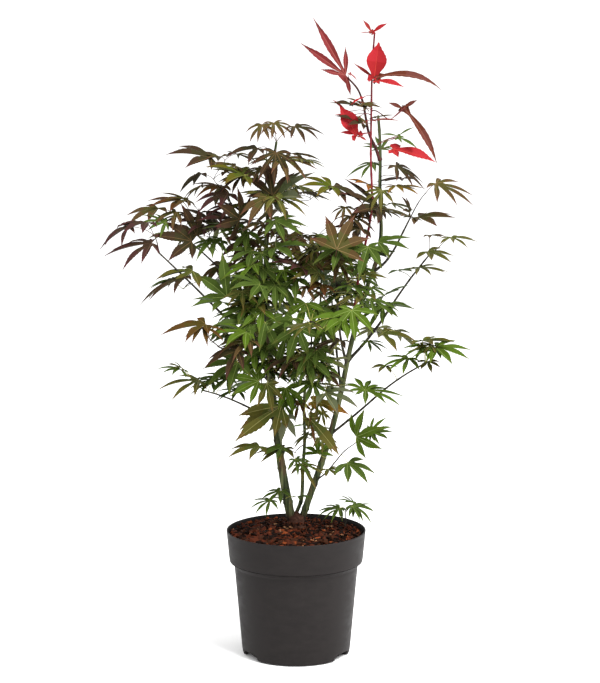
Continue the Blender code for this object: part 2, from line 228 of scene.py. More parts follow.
# The stalk of a leaf, thinnest at its waist.
PETIOLE_RADII = (0.00044, 0.00058)
PETIOLE_WAIST = 0.4
PETIOLE_FLARE = 1.5
PETIOLE_SIDES = 6
PETIOLE_RINGS = 8
PETIOLE_REACH = 0.040
PETIOLE_LENGTHS = (0.020, 0.034)
PETIOLE_RISES = (0, 32)
PETIOLE_OVERLAP = 0.0008
PETIOLE_ALONG_WOOD = 0.5
PETIOLE_LIFT = 0.25
PETIOLE_AHEAD = 0.35
PETIOLE_SINK = 0.2

# The leaves that the seeded rule grows, in pairs. Each pair is the best of several tries, which cost what
# they reach out of their mass's box or across a gap of sky, and gain by room round them. A mass at the
# back has a larger box than its solid.
PAIR_ANGLES = (32, 66)
PAIR_SWING = 12
PAIR_OUTWARD = 0.5
PAIR_ROLL = 0.16
PAIR_BOX_SHARE = 0.62
PAIR_ROOM = 0.035
SEEDED_RISES = (-38, 4)
SEEDED_LENGTHS = (0.032, 0.052)
SEEDED_RED_LENGTH = 0.8
SEEDED_FORMS = {"green": ("seven", "five", "claw"), "bronze": ("claw", "hand", "claw"), "red": ("spear",)}
SEEDED_TRIES = 40
SEEDED_MARGIN = 0.008
SEEDED_OVERSHOOT_COST = 1.2
SIDE_LOBE_REACH = 0.6
LOBE_SINK = 0.2
SKY_GAP_COST = 4.0
SKY_GAP_MARGIN = 0.2
BACK_START = 0.015
BACK_REACH = 0.045

# How a leaf's lobes stand and bend: their cone below the leaf's plane, then the spread of their angles,
# lengths and tilts, and how a bend grows past the web.
CONES = (0, 9)
LOBE_SWING = 2.5
LOBE_LENGTH_CHANGE = 0.03
LOBE_TILT = 4
LOBE_BEND_RANGE = (0.6, 1.3)
LOBE_BEND_POWER = 1.25
LOBE_SAMPLES = 15

# Forms of leaf: the lobes, each with its angle from the middle lobe, clockwise from above, and its length
# as a part of the leaf's length, then the lobes' breadth, the least and most their tips bend down in
# degrees, and how far out they part. Young red leaves have fewer and more unequal lobes.
Form = namedtuple("Form", "lobes breadth bends sinus")
FORMS = {
    "seven": Form(((-116, 0.36), (-75, 0.72), (-37, 0.93), (0, 1.0), (37, 0.93), (75, 0.72), (116, 0.36)),
                  1.02, (6, 30), 0.21),
    "five": Form(((-86, 0.68), (-40, 0.90), (0, 1.0), (40, 0.90), (86, 0.68)), 1.20, (6, 26), 0.21),
    "hand": Form(((-84, 0.46), (-38, 0.76), (0, 1.0), (34, 0.84), (78, 0.42)), 1.15, (12, 28), 0.21),
    "claw": Form(((-100, 0.42), (-66, 0.78), (-33, 0.95), (0, 1.0), (33, 0.95), (66, 0.78), (100, 0.42)),
                 0.74, (18, 36), 0.18),
    "drape": Form(((-64, 0.40), (-36, 0.52), (0, 1.0), (17, 0.84), (37, 0.74)), 1.15, (4, 18), 0.21),
    "fan": Form(((-141, 0.31), (-23, 0.43), (0, 0.91), (21, 1.0), (49, 0.45)), 0.58, (2, 10), 0.10),
    "spear": Form(((-104, 0.26), (-36, 0.34), (0, 1.0), (36, 0.34), (104, 0.26)), 0.80, (14, 32), 0.14),
    "tongue": Form(((-120, 0.15), (-50, 0.22), (0, 1.0), (50, 0.24), (120, 0.15)), 1.20, (14, 30), 0.14),
    "spade": Form(((-110, 0.20), (0, 1.0), (110, 0.20)), 2.50, (0, 8), 0.10),
    "blade": Form(((-100, 0.10), (0, 1.0), (100, 0.10)), 0.56, (14, 30), 0.07),
}
WEB_ROWS = 4
LOBE_ROWS = 19
# Half the width of a lobe at even steps from the leaf's base to the lobe's tip, in lobe lengths.
LOBE_WIDTHS = (0.0, 0.040, 0.062, 0.088, 0.106, 0.112, 0.103, 0.080, 0.048, 0.021, 0.0)
LOBE_GAP = 0.94
TOOTH_NOTCH = 0.10
TOOTH_LEAN = 0.011
TOOTH_CURL = 0.003
NOTCH_LEAN = 0.3
SHORT_LOBE_BREADTH = 0.40
RIB_HALF_WIDTH = 0.0076
RIB_TAPER = 0.75
RIB_DEPTH = 1.3
BLADE_DEPTH = 0.006
FOLD = 0.54
OUTER_EDGE_ANGLE = 24

Limb = namedtuple("Limb", "name parent foot headings rises length base_radius tip_radius")
Mass = namedtuple("Mass", "kind tints more heading spread droop", defaults=(0.7,))

LIMBS = [
    Limb("left_stem", "stool", (-0.0072, 0.0), (180, 178, 182), (78, 84, 86, 93, 99), 0.523, 0.0067, 0.0017),
    Limb("middle_stem", "stool", (-0.0005, 0.009), (0, 330, 320), (62, 99, 88, 77, 77, 87, 94),
         0.379, 0.0029, 0.0011),
    Limb("right_stem", "stool", (0.0092, 0.002), (0, 2, 0), (71, 71, 76, 79, 76, 69, 93, 89, 96),
         0.570, 0.0049, 0.0019),
    Limb("second_leader", "left_stem", 0.809, (126, 90, 71), (82, 65, 84), 0.093, 0.0012, 0.0007),
    Limb("red_shoot", "right_stem", 0.477, (340, 330, 290), (92, 80, 76, 94, 89, 89, 78),
         0.406, 0.0019, 0.0012),
    Limb("dark_red_shoot", "right_stem", 0.895, (180, 178, 182), (69, 66, 85, 68, 39),
         0.122, 0.0022, 0.0012),
    Limb("bough_low_left", "left_stem", 0.265, (208, 214, 212), (27, 27, 17), 0.127, 0.0017, 0.0010),
    Limb("bough_front_left", "left_stem", 0.357, (238, 234, 230), (41, 28, 25), 0.137, 0.0017, 0.0010),
    Limb("bough_far_left", "left_stem", 0.444, (192, 192, 190), (37, 46, 44), 0.210, 0.0022, 0.0011),
    Limb("bough_upper_left", "left_stem", 0.544, (160, 158, 160), (38, 44, 37), 0.143, 0.0019, 0.0011),
    Limb("bough_high_left", "left_stem", 0.637, (156, 150, 146), (52, 65, 68), 0.129, 0.0018, 0.0010),
    Limb("bough_back_left", "left_stem", 0.340, (116, 112, 106), (44, 50, 56), 0.176, 0.0018, 0.0011),
    Limb("bough_back_high", "left_stem", 0.580, (80, 76, 74), (46, 54, 62), 0.112, 0.0017, 0.0011),
    Limb("bough_front", "middle_stem", 0.520, (280, 272, 266), (50, 44, 38), 0.136, 0.0015, 0.0010),
    Limb("bough_low_right", "right_stem", 0.214, (342, 342, 344), (39, 43, 29), 0.171, 0.0018, 0.0011),
    Limb("twig_low_right", "right_stem", 0.093, (320, 322, 324), (31, 53, 31), 0.094, 0.0012, 0.0007),
    Limb("bough_right", "right_stem", 0.399, (14, 16, 16), (43, 56, 48), 0.184, 0.0022, 0.0011),
    Limb("bough_inner_right", "right_stem", 0.392, (236, 256, 270), (62, 72, 73), 0.158, 0.0019, 0.0011),
    Limb("bough_back_right", "right_stem", 0.323, (96, 98, 92), (44, 50, 56), 0.182, 0.0019, 0.0011),
    Limb("bough_upper_right", "right_stem", 0.622, (334, 330, 322), (31, 61, 60), 0.097, 0.0020, 0.0011),
    Limb("basal_shoot_left", "left_stem", 0.040, (200, 204, 208), (33, 18, -38), 0.036, 0.0010, 0.0007),
    Limb("basal_shoot_right", "soil", (0.0684, 0.030), (40, 20, 350), (80, 84, 78), 0.024, 0.0010, 0.0007),
]

# Each mass of leaves: the kind of leaf, the tints dealt out to its sprays, how many pairs of leaves
# grow besides those placed below, and the heading and spread in degrees that those pairs point to.
MASSES = {
    "left_top": Mass("bronze", ("umber", "olive", "bronze"), 1, 90, 110, 0.9),
    "left_high": Mass("bronze", ("umber", "bronze", "olive"), 3, 130, 90, 0.9),
    "left_leader": Mass("bronze", ("olive", "bronze", "umber"), 5, 90, 150),
    "far_left_tip": Mass("bronze", ("plum", "umber", "plum"), 0, 180, 90, 1.0),
    "far_left": Mass("bronze", ("umber", "olive", "deep"), 1, 150, 90, 1.0),
    "upper_left": Mass("bronze", ("bronze", "umber", "olive"), 3, 150, 100, 0.9),
    "inner_left": Mass("green", ("deep", "fresh", "olive"), 13, 200, 150),
    "front_left": Mass("bronze", ("rust", "umber", "olive"), 0, 240, 90, 1.0),
    "low_left": Mass("green", ("deep", "olive", "fresh"), 0, 190, 120, 0.7),
    "under_left": Mass("green", ("fresh", "deep"), 10, 160, 140),
    "foot_left": Mass("bronze", ("bronze", "olive"), 0, 180, 120),
    "centre_front": Mass("green", ("fresh", "deep", "olive"), 10, 300, 160),
    "centre": Mass("bronze", ("olive", "bronze", "deep"), 8, 30, 150),
    "centre_low": Mass("green", ("olive", "fresh"), 2, 60, 150),
    "inner_right": Mass("green", ("deep", "olive", "deep"), 10, 350, 120),
    "right_leader": Mass("bronze", ("umber", "bronze", "olive"), 2, 60, 150),
    "right_top": Mass("bronze", ("deep", "olive", "umber"), 0, 60, 120, 0.5),
    "upper_right": Mass("bronze", ("bronze", "umber", "olive"), 0, 0, 120, 0.5),
    "right_tip": Mass("bronze", ("olive", "bronze", "deep"), 0, 40, 110, 0.4),
    "right": Mass("green", ("deep", "olive"), 1, 30, 120, 0.45),
    "low_right_tip": Mass("green", ("olive", "lime", "deep"), 0, 10, 110, 0.5),
    "low_right": Mass("green", ("olive", "deep"), 0, 0, 100, 0.45),
    "twig_right": Mass("green", ("deep", "fresh"), 0, 320, 100, 0.6),
    "basal_left": Mass("green", ("deep",), 0, 200, 60, 0.8),
    "basal_right": Mass("green", ("fresh",), 0, 0, 60, 0.8),
    "back_left": Mass("green", ("deep", "olive", "bronze"), 18, 100, 170),
    "back_right": Mass("green", ("deep", "olive", "fresh"), 17, 80, 170),
    "back_high": Mass("bronze", ("olive", "bronze", "umber"), 9, 90, 170),
    "front": Mass("green", ("fresh", "olive"), 1, 270, 120),
    "red_left": Mass("red", ("dusky", "scarlet"), 0, 120, 90, 0.3),
    "red_tip": Mass("red", ("scarlet", "crimson"), 0, 90, 90, 0.3),
    "red_right": Mass("red", ("dusky",), 0, 60, 60, 1.6),
    "red_cluster": Mass("red", ("scarlet", "bronze"), 0, 120, 90, 0.3),
    "dull_red": Mass("red", ("dusky", "umber"), 0, 30, 90, 1),
}

# Gaps where the sky shows through the crown from the front, as x, z and radius in mm. No seeded leaf
# grows across one.
SKY_GAPS = (
    (12, 614, 23), (-83, 720, 12), (44, 605, 16), (-128, 434, 18), (60, 415, 18), (5, 266, 11),
    (89, 281, 11), (30, 722, 12), (-91, 495, 11), (-7, 627, 15), (73, 392, 14), (98, 542, 12),
    (118, 511, 12), (79, 626, 11), (-159, 520, 12), (-160, 434, 15), (-11, 714, 11), (-54, 711, 9),
    (-64, 367, 11), (-144, 690, 9), (-6, 376, 9),
)

# The leaves that give the crown its outline and its front. Each row is the leaf's base in mm, the way its
# middle lobe points, in degrees round the front view from +X and then degrees towards the front, how far
# its upper side turns to the front, its length in mm and its tint, then its form, unless that is the claw.
Leaf = namedtuple("Leaf", "x y z swing toward face length tint form", defaults=("claw",))
LEAVES = {
    "far_left_tip": [
        (-225, -34, 603, 200, 5, 10, 54, "plum"), (-202, -20, 607, 180, 50, 6, 52, "plum", "hand"),
        (-194, -38, 581, 180, 15, 12, 68, "plum"),
    ],
    "upper_left": [
        (-159, 40, 632, 180, 40, 10, 52, "russet", "seven"),
        (-190, 30, 622, 200, 35, 14, 54, "bronze", "hand"), (-164, 15, 618, 195, 40, 10, 46, "bronze"),
        (-142, 0, 579, 172, 20, 58, 60, "umber", "hand"), (-112, 50, 595, 145, -20, 6, 58, "umber", "seven"),
        (-112, 5, 580, 210, 50, 12, 50, "deep"), (-136, 10, 585, 115, 0, 40, 50, "umber", "hand"),
        (-126, 20, 598, 160, 30, 14, 46, "plum"), (-148, 30, 633, 165, 30, 14, 44, "bronze"),
        (-177, 0, 605, 165, 20, 30, 40, "deep"), (-101, 5, 580, 190, 25, 20, 38, "deep"),
    ],
    "far_left": [
        (-140, -20, 541, 185, 20, 10, 58, "olive", "five"), (-150, -40, 535, 200, 10, 2, 74, "umber"),
        (-93, -50, 509, 95, -10, 75, 62, "deep", "five"),
    ],
    "left_high": [
        (-116, 40, 690, 162, 15, 24, 64, "umber", "hand"), (-93, 0, 645, 200, 35, 12, 54, "plum", "hand"),
        (-101, 25, 652, 170, 35, 10, 48, "russet"), (-60, 10, 673, 185, 30, 30, 50, "olive", "hand"),
        (-82, 15, 681, 170, 30, 20, 44, "bronze"), (-74, 10, 667, 200, 25, 24, 40, "umber"),
    ],
    "left_top": [
        (-70, -10, 670, 165, 20, 14, 58, "lime", "five"), (-52, 10, 705, 185, 30, 14, 50, "umber", "hand"),
        (-46, 0, 738, 250, 50, 6, 36, "bronze"), (-30, 5, 740, 320, 50, 10, 40, "bronze"),
        (-2, 10, 735, 345, 30, 12, 46, "umber"), (-8, 0, 699, 350, -30, 0, 48, "bronze"),
        (-18, -20, 694, 335, 40, 14, 54, "bronze"), (-27, -25, 702, 265, 25, 26, 50, "umber"),
        (-46, -5, 679, 200, 30, 14, 40, "umber"),
    ],
    "left_leader": [
        (-32, -20, 643, 95, -35, 60, 52, "umber", "five"), (-26, -25, 642, 35, 15, 26, 62, "grey", "five"),
        (-27, -40, 644, 340, 35, 14, 54, "olive"), (-38, -10, 646, 180, 45, 6, 46, "olive", "seven"),
        (-38, -40, 643, 230, 35, 30, 52, "bronze", "hand"),
        (-76, -10, 610, 130, 45, 65, 56, "umber", "five"), (-72, 0, 597, 170, 20, 10, 58, "deep"),
        (-65, -10, 593, 215, 30, 24, 40, "deep", "five"), (-55, 0, 581, 290, 30, 20, 38, "olive"),
        (-72, -5, 581, 250, 20, 30, 40, "umber", "five"), (-87, 0, 608, 165, 30, 20, 50, "plum", "hand"),
        (-87, 5, 627, 190, 25, 20, 44, "plum"),
    ],
    "red_left": [
        (67, 0, 804, 140, 5, 80, 86, "rose", "fan"), (72, -12, 807, 318, 10, 30, 15, "crimson", "spear"),
    ],
    "red_tip": [
        (105, -18, 801, 85, 5, 85, 50, "scarlet", "spade"),
        (106, -14, 800, 143, 0, 75, 38, "crimson", "blade"),
        (107, -24, 798, 355, 10, 40, 40, "scarlet", "tongue"),
        (102, -18, 861, 36, 10, 50, 25, "scarlet", "tongue"),
        (101, -18, 861, 178, 10, 20, 17, "crimson", "spear"),
        (101, -18, 862, 122, 0, 50, 20, "crimson", "tongue"),
    ],
    "red_right": [
        (106, -20, 802, 11, 10, 50, 96, "dusky", "blade"),
    ],
    "red_cluster": [
        (82, -25, 725, 119, 5, 66, 43, "scarlet", "spade"),
        (81, -26, 726, 168, 5, 60, 22, "scarlet", "tongue"),
        (84, -26, 724, 338, 5, 60, 13, "crimson", "tongue"),
        (69, -24, 751, 166, 5, 60, 19, "crimson", "blade"),
        (68, -22, 757, 133, 5, 70, 27, "crimson", "blade"), (90, -22, 741, 162, 15, 24, 42, "umber", "hand"),
        (87, -20, 764, 174, 10, 6, 44, "umber", "spear"), (88, -20, 766, 348, 15, 14, 30, "bronze", "hand"),
        (86, -16, 768, 155, 10, 20, 20, "bronze", "tongue"),
        (84, -30, 750, 318, 20, 20, 18, "bronze", "tongue"),
        (99, -10, 744, 3, 15, 4, 43, "crimson", "spear"), (103, -4, 747, 6, 20, 6, 32, "bronze", "spear"),
        (94, -20, 761, 150, 20, 20, 26, "bronze"), (89, -22, 775, 200, 20, 20, 20, "scarlet", "tongue"),
        (75, -20, 766, 165, 10, 50, 24, "umber", "tongue"),
    ],
    "dull_red": [
        (146, 0, 760, 309, 5, 60, 88, "dusky", "blade"), (146, -4, 760, 40, 10, 70, 22, "dusky", "tongue"),
        (145, -2, 759, 152, 10, 70, 22, "dusky", "tongue"), (138, -5, 721, 336, 10, 44, 30, "deep", "spear"),
        (139, -5, 722, 158, 10, 50, 26, "deep", "blade"), (139, 0, 723, 34, 10, 50, 26, "deep", "blade"),
    ],
    "right_top": [
        (131, -5, 705, 350, 5, 46, 63, "scarlet", "tongue"), (105, 15, 685, 200, 20, 2, 46, "deep"),
        (116, 25, 702, 110, -60, 10, 36, "deep"), (135, -5, 683, 328, 15, 4, 54, "umber"),
    ],
    "right_leader": [
        (48, -30, 657, 175, 25, 20, 48, "lime", "five"), (51, -25, 657, 335, 25, 6, 52, "umber", "hand"),
        (111, -20, 628, 145, 25, 26, 68, "umber", "seven"), (99, 0, 657, 160, 50, 26, 34, "orange", "five"),
        (66, -30, 629, 255, 65, 10, 30, "bronze"), (90, -25, 627, 265, 65, 10, 28, "bronze", "hand"),
        (54, -100, 579, 62, -30, 60, 58, "bronze", "five"), (73, -40, 618, 315, 45, 6, 46, "umber"),
        (86, -40, 601, 190, 30, 20, 46, "umber", "five"), (73, -45, 586, 230, 30, 30, 42, "olive", "five"),
        (116, -25, 651, 230, 30, 20, 40, "olive"),
    ],
    "inner_right": [
        (96, -75, 580, 245, 50, 30, 56, "deep", "hand"), (110, -55, 584, 355, 35, 20, 50, "deep", "five"),
        (92, -85, 517, 185, 35, 6, 50, "olive", "seven"),
    ],
    "upper_right": [
        (156, -20, 614, 155, 35, 7, 50, "bronze"), (165, -30, 615, 5, 20, 13, 54, "bronze", "five"),
        (187, -45, 662, 335, 20, 13, 60, "bronze"), (144, 0, 665, 200, -55, 1, 44, "plum", "seven"),
        (135, -15, 656, 355, 45, 3, 46, "ochre"), (154, -25, 621, 125, 20, 30, 28, "umber", "hand"),
    ],
    "right_tip": [
        (184, 25, 585, 350, 60, 1, 32, "bronze", "hand"), (214, 35, 581, 345, 55, 2, 42, "olive"),
        (181, 20, 563, 345, 40, 7, 42, "olive", "five"), (169, 20, 541, 355, 35, 3, 46, "olive"),
        (141, 25, 536, 10, 55, 3, 34, "deep", "seven"),
    ],
    "right": [
        (120, 0, 504, 35, 50, 22, 42, "deep", "five"), (102, -10, 517, 290, 60, 10, 34, "deep"),
        (123, -15, 493, 355, 45, 7, 46, "deep", "seven"), (118, -25, 493, 220, 45, 7, 50, "deep"),
        (117, -20, 455, 345, 25, 10, 54, "olive", "hand"), (99, 0, 441, 335, 45, 3, 34, "deep"),
    ],
    "low_right_tip": [
        (171, -40, 448, 10, 35, 1, 52, "lime", "five"), (189, -50, 441, 350, 30, 20, 54, "fresh", "seven"),
        (190, -45, 436, 180, 35, 10, 46, "fresh"), (179, -35, 419, 295, 60, 5, 26, "olive", "five"),
        (184, -45, 443, 190, 30, 14, 34, "olive"), (173, -45, 441, 200, 25, 20, 34, "fresh"),
    ],
    "centre_front": [
        (59, -85, 455, 185, 35, 0, 48, "umber"), (30, -80, 412, 340, 45, 2, 44, "umber", "hand"),
        (39, -95, 386, 350, 25, 14, 52, "grey", "five"), (22, -95, 375, 350, 20, 60, 52, "ochre", "tongue"),
        (5, -60, 422, 345, 25, 20, 54, "fresh", "seven"), (18, -70, 347, 313, 10, 60, 64, "olive", "tongue"),
        (18, -72, 347, 285, 10, 20, 40, "russet", "blade"), (9, -60, 335, 70, 70, 34, 28, "fresh", "seven"),
        (3, -95, 474, 250, 10, 60, 48, "deep", "five"), (-4, -85, 433, 200, 20, 16, 44, "umber", "seven"),
        (15, -95, 435, 320, 15, 40, 50, "deep", "seven"), (23, -90, 399, 250, 20, 30, 34, "deep", "seven"),
        (45, -80, 485, 235, 30, 30, 40, "fresh", "five"), (13, -70, 504, 250, 20, 34, 44, "fresh", "five"),
        (30, -70, 368, 300, 25, 30, 30, "olive"), (35, -60, 466, 280, 25, 30, 36, "deep", "five"),
    ],
    "low_right": [
        (153, -30, 423, 205, 40, 12, 46, "fresh"), (123, -25, 411, 195, 60, 5, 28, "olive", "five"),
        (93, -35, 379, 125, -55, 17, 36, "fresh", "seven"), (95, -35, 379, 350, 25, 5, 60, "fresh"),
    ],
    "front": [
        (62, -131, 492, 195, 60, 44, 50, "fresh", "five"),
        (73, -130, 503, 280, 45, 34, 50, "fresh", "seven"),
    ],
    "centre": [
        (-28, -50, 612, 340, 35, 26, 50, "deep", "seven"), (-28, -55, 577, 10, 20, 14, 54, "deep", "five"),
        (24, -50, 548, 90, -35, 70, 52, "olive", "five"), (9, -60, 550, 160, 25, 14, 50, "plum", "hand"),
        (35, -60, 528, 200, 50, 14, 36, "russet", "five"), (0, -50, 535, 215, 30, 34, 44, "deep", "five"),
        (-17, -55, 527, 300, 30, 30, 40, "deep", "five"), (30, -60, 544, 190, 30, 30, 44, "olive", "hand"),
        (13, -60, 525, 340, 30, 20, 40, "bronze"),
    ],
    "inner_left": [
        (-48, -75, 529, 170, 40, 34, 50, "deep", "seven"), (-68, -60, 496, 195, 40, 14, 46, "deep", "seven"),
        (-62, -75, 477, 180, 20, 40, 54, "deep", "seven"), (-41, -80, 479, 300, 20, 50, 46, "deep", "five"),
        (-4, -80, 485, 200, 30, 20, 48, "deep", "hand"), (-59, -30, 570, 200, 30, 30, 40, "deep", "five"),
        (-46, -35, 568, 300, 30, 24, 38, "deep"), (-45, -70, 494, 215, 30, 40, 42, "fresh", "five"),
        (-13, -70, 459, 250, 20, 30, 44, "deep", "five"), (27, -70, 500, 300, 25, 30, 40, "deep", "five"),
    ],
    "front_left": [
        (-119, -115, 482, 186, 15, 14, 62, "rust", "hand"), (-123, -115, 478, 310, 65, 10, 42, "rust"),
        (-66, -100, 469, 165, 20, 12, 54, "fresh", "seven"), (-61, -100, 458, 190, 25, 10, 54, "bronze"),
        (-77, -110, 446, 202, 20, 20, 52, "umber", "seven"),
        (-99, -60, 504, 170, 35, 10, 50, "deep", "hand"),
    ],
    "low_left": [
        (-78, -75, 424, 210, 25, 26, 56, "deep", "five"), (-156, -60, 412, 168, 45, 14, 38, "fresh"),
        (-131, -65, 398, 182, 18, 8, 62, "olive"), (-92, -60, 400, 185, 30, 14, 52, "deep"),
        (-113, -60, 397, 200, 30, 10, 40, "deep"), (-154, -55, 413, 150, 30, 14, 26, "olive"),
    ],
    "under_left": [
        (-50, -65, 397, 165, 5, 62, 48, "fresh", "seven"), (-79, -40, 380, 190, 45, 10, 40, "deep"),
        (-11, -30, 420, 215, 45, 20, 40, "russet", "seven"),
        (-39, -65, 394, 280, 10, 50, 40, "olive", "hand"), (-14, -50, 385, 290, 25, 30, 38, "fresh", "five"),
        (4, -35, 363, 260, 20, 20, 30, "russet"), (-38, -60, 445, 200, 30, 30, 44, "deep", "five"),
        (-57, -60, 438, 230, 30, 30, 40, "fresh", "five"),
    ],
    "foot_left": [
        (-20, -50, 360, 222, 12, 66, 80, "olive", "drape"),
        (-49, -50, 304, 185, 30, 14, 50, "olive", "hand"),
        (-16, -40, 300, 195, 40, 10, 44, "olive", "seven"), (-19, -50, 303, 200, 30, 14, 34, "deep", "hand"),
        (-15, -48, 347, 262, -5, -40, 42, "grey", "hand"), (0, -40, 372, 220, 30, 20, 34, "deep"),
        (-18, -40, 363, 275, 20, 30, 34, "fresh"), (35, -45, 351, 250, 25, 24, 26, "lime"),
    ],
    "centre_low": [
        (8, -20, 273, 325, 50, 10, 38, "olive"), (11, -25, 267, 300, 35, 34, 34, "olive", "spear"),
        (30, -20, 287, 90, -60, 60, 36, "fresh", "five"), (44, -15, 265, 340, 55, 10, 26, "olive", "five"),
        (-1, -40, 284, 315, 30, 14, 34, "deep"),
    ],
    "twig_right": [
        (82, -45, 316, 35, 35, 70, 50, "fresh", "five"), (105, -40, 320, 355, 50, 13, 34, "deep", "seven"),
        (70, -40, 279, 330, 40, 17, 46, "deep", "five"), (101, -45, 323, 25, 15, 50, 34, "fresh"),
    ],
    "basal_left": [
        (-36, -20, 222, 205, 45, 7, 36, "deep"), (-21, -10, 233, 210, 45, 5, 34, "deep", "seven"),
        (3, -25, 229, 5, 50, 0, 26, "deep"),
    ],
    "basal_right": [
        (61, 25, 201, 185, 35, 10, 38, "deep"), (80, 25, 205, 332, 20, 14, 40, "deep"),
        (82, 25, 207, 150, 20, 14, 30, "deep"), (79, 22, 204, 15, 45, 6, 34, "deep"),
        (78, 0, 209, 340, 30, 10, 34, "deep"), (61, 0, 206, 200, 20, 14, 30, "deep"),
    ],
}

# Plain colours of each tint of leaf, in thousandths: near the base, the middle and the tips of the lobes,
# then the rib and the underside.
TINTS = {
    "fresh": ((47, 77, 7), (50, 86, 7), (59, 81, 9), (155, 205, 55), (85, 118, 38)),
    "deep": ((36, 58, 9), (40, 64, 10), (48, 59, 10), (125, 165, 40), (78, 104, 48)),
    "olive": ((49, 57, 11), (62, 57, 11), (77, 50, 13), (175, 164, 55), (102, 106, 46)),
    "lime": ((45, 57, 4), (57, 52, 4), (66, 44, 5), (146, 133, 37), (83, 87, 30)),
    # The grey tint is the leaf's own green with painted sheen: its paler grey-green stands in for the gloss
    # of the white sky on these leaves.
    "grey": ((50, 61, 24), (67, 75, 38), (67, 61, 37), (179, 170, 83), (89, 95, 52)),
    "bronze": ((45, 40, 10), (55, 33, 12), (66, 26, 15), (142, 90, 37), (85, 72, 32)),
    "umber": ((26, 22, 8), (31, 18, 9), (40, 15, 12), (96, 56, 21), (60, 50, 28)),
    "plum": ((31, 18, 10), (38, 15, 13), (50, 13, 16), (94, 53, 34), (61, 43, 33)),
    "russet": ((48, 28, 6), (58, 23, 6), (66, 18, 7), (144, 77, 32), (81, 52, 28)),
    "rust": ((44, 32, 6), (55, 28, 6), (61, 22, 6), (130, 82, 30), (70, 48, 23)),
    "ochre": ((80, 62, 8), (115, 64, 8), (120, 46, 8), (192, 136, 42), (94, 71, 30)),
    "orange": ((121, 55, 5), (150, 50, 5), (150, 32, 5), (181, 95, 26), (140, 76, 30)),
    "dusky": ((72, 17, 9), (85, 25, 19), (81, 18, 10), (123, 47, 32), (102, 43, 32)),
    "crimson": ((165, 16, 14), (178, 18, 17), (150, 17, 16), (228, 57, 41), (204, 57, 44)),
    "scarlet": ((215, 11, 13), (250, 14, 18), (225, 11, 14), (330, 32, 22), (270, 36, 30)),
    "rose": ((115, 17, 16), (128, 18, 19), (80, 13, 13), (200, 50, 42), (150, 38, 36)),
}
ZONES = ("base", "middle", "tip", "rib", "under")
ZONE_ENDS = (0.40, 0.74)
# The roughness of a leaf's upper side and underside, the part of a noise that varies a roughness, and the
# depth of the relief on leaves, chips and bark, on smooth things and on compost.
LEAF_ROUGHNESS = (0.50, 0.68)
LEAF_SPECULAR = 0.035
BARK_SPECULAR = 0.08
ROUGHNESS_FACTORS = (0.3, 0.7)
RELIEF_DEPTH = 0.0006
FINE_RELIEF_DEPTH = 0.0002
CRUMB_RELIEF_DEPTH = 0.0012

CHIP_COLOURS = {
    "chip_red_brown": (0.052, 0.0120, 0.0050),
    "chip_brown": (0.030, 0.0100, 0.0045),
    "chip_dark": (0.0060, 0.0025, 0.0016),
    "chip_orange": (0.150, 0.034, 0.010),
    "chip_pale": (0.200, 0.100, 0.050),
}
CHIP_SHARES = (0.30, 0.28, 0.34, 0.055, 0.025)

# On the flat map each leaf and chip has a cell. These are the place of a leaf's base in it, the sizes of a
# leaf and of a chip, and how far the underside lies beside the upper side.
LEAF_MAP_PLACE = (0.25, 0.35)
LEAF_MAP_SIZE = (0.22, 0.5)
LEAF_MAP_UNDERSIDE = 0.5
CHIP_MAP_SIZE = 0.22

# Bark is mottled between two colours, with spots of a third. Its roughness and the strength of its relief
# follow.
BARKS = {
    "stool_skin": ((0.016, 0.007, 0.005), (0.046, 0.019, 0.012), (0.070, 0.034, 0.022), 0.85, 0.9),
    "twig_skin": ((0.018, 0.011, 0.011), (0.050, 0.033, 0.027), (0.083, 0.068, 0.053), 0.55, 0.4),
    "bough_skin": ((0.015, 0.012, 0.010), (0.046, 0.041, 0.028), (0.068, 0.058, 0.039), 0.58, 0.4),
    "red_skin": ((0.085, 0.008, 0.012), (0.180, 0.019, 0.027), (0.050, 0.009, 0.009), 0.5, 0.3),
    "dark_red_skin": ((0.026, 0.009, 0.008), (0.068, 0.020, 0.018), (0.110, 0.028, 0.026), 0.5, 0.3),
}
PETIOLE_COLOURS = {
    "petiole_lime": (0.240, 0.225, 0.055),
    "petiole_green": (0.085, 0.090, 0.026),
    "petiole_brown": (0.070, 0.032, 0.020),
    "petiole_red": (0.130, 0.024, 0.024),
}

materials = {}


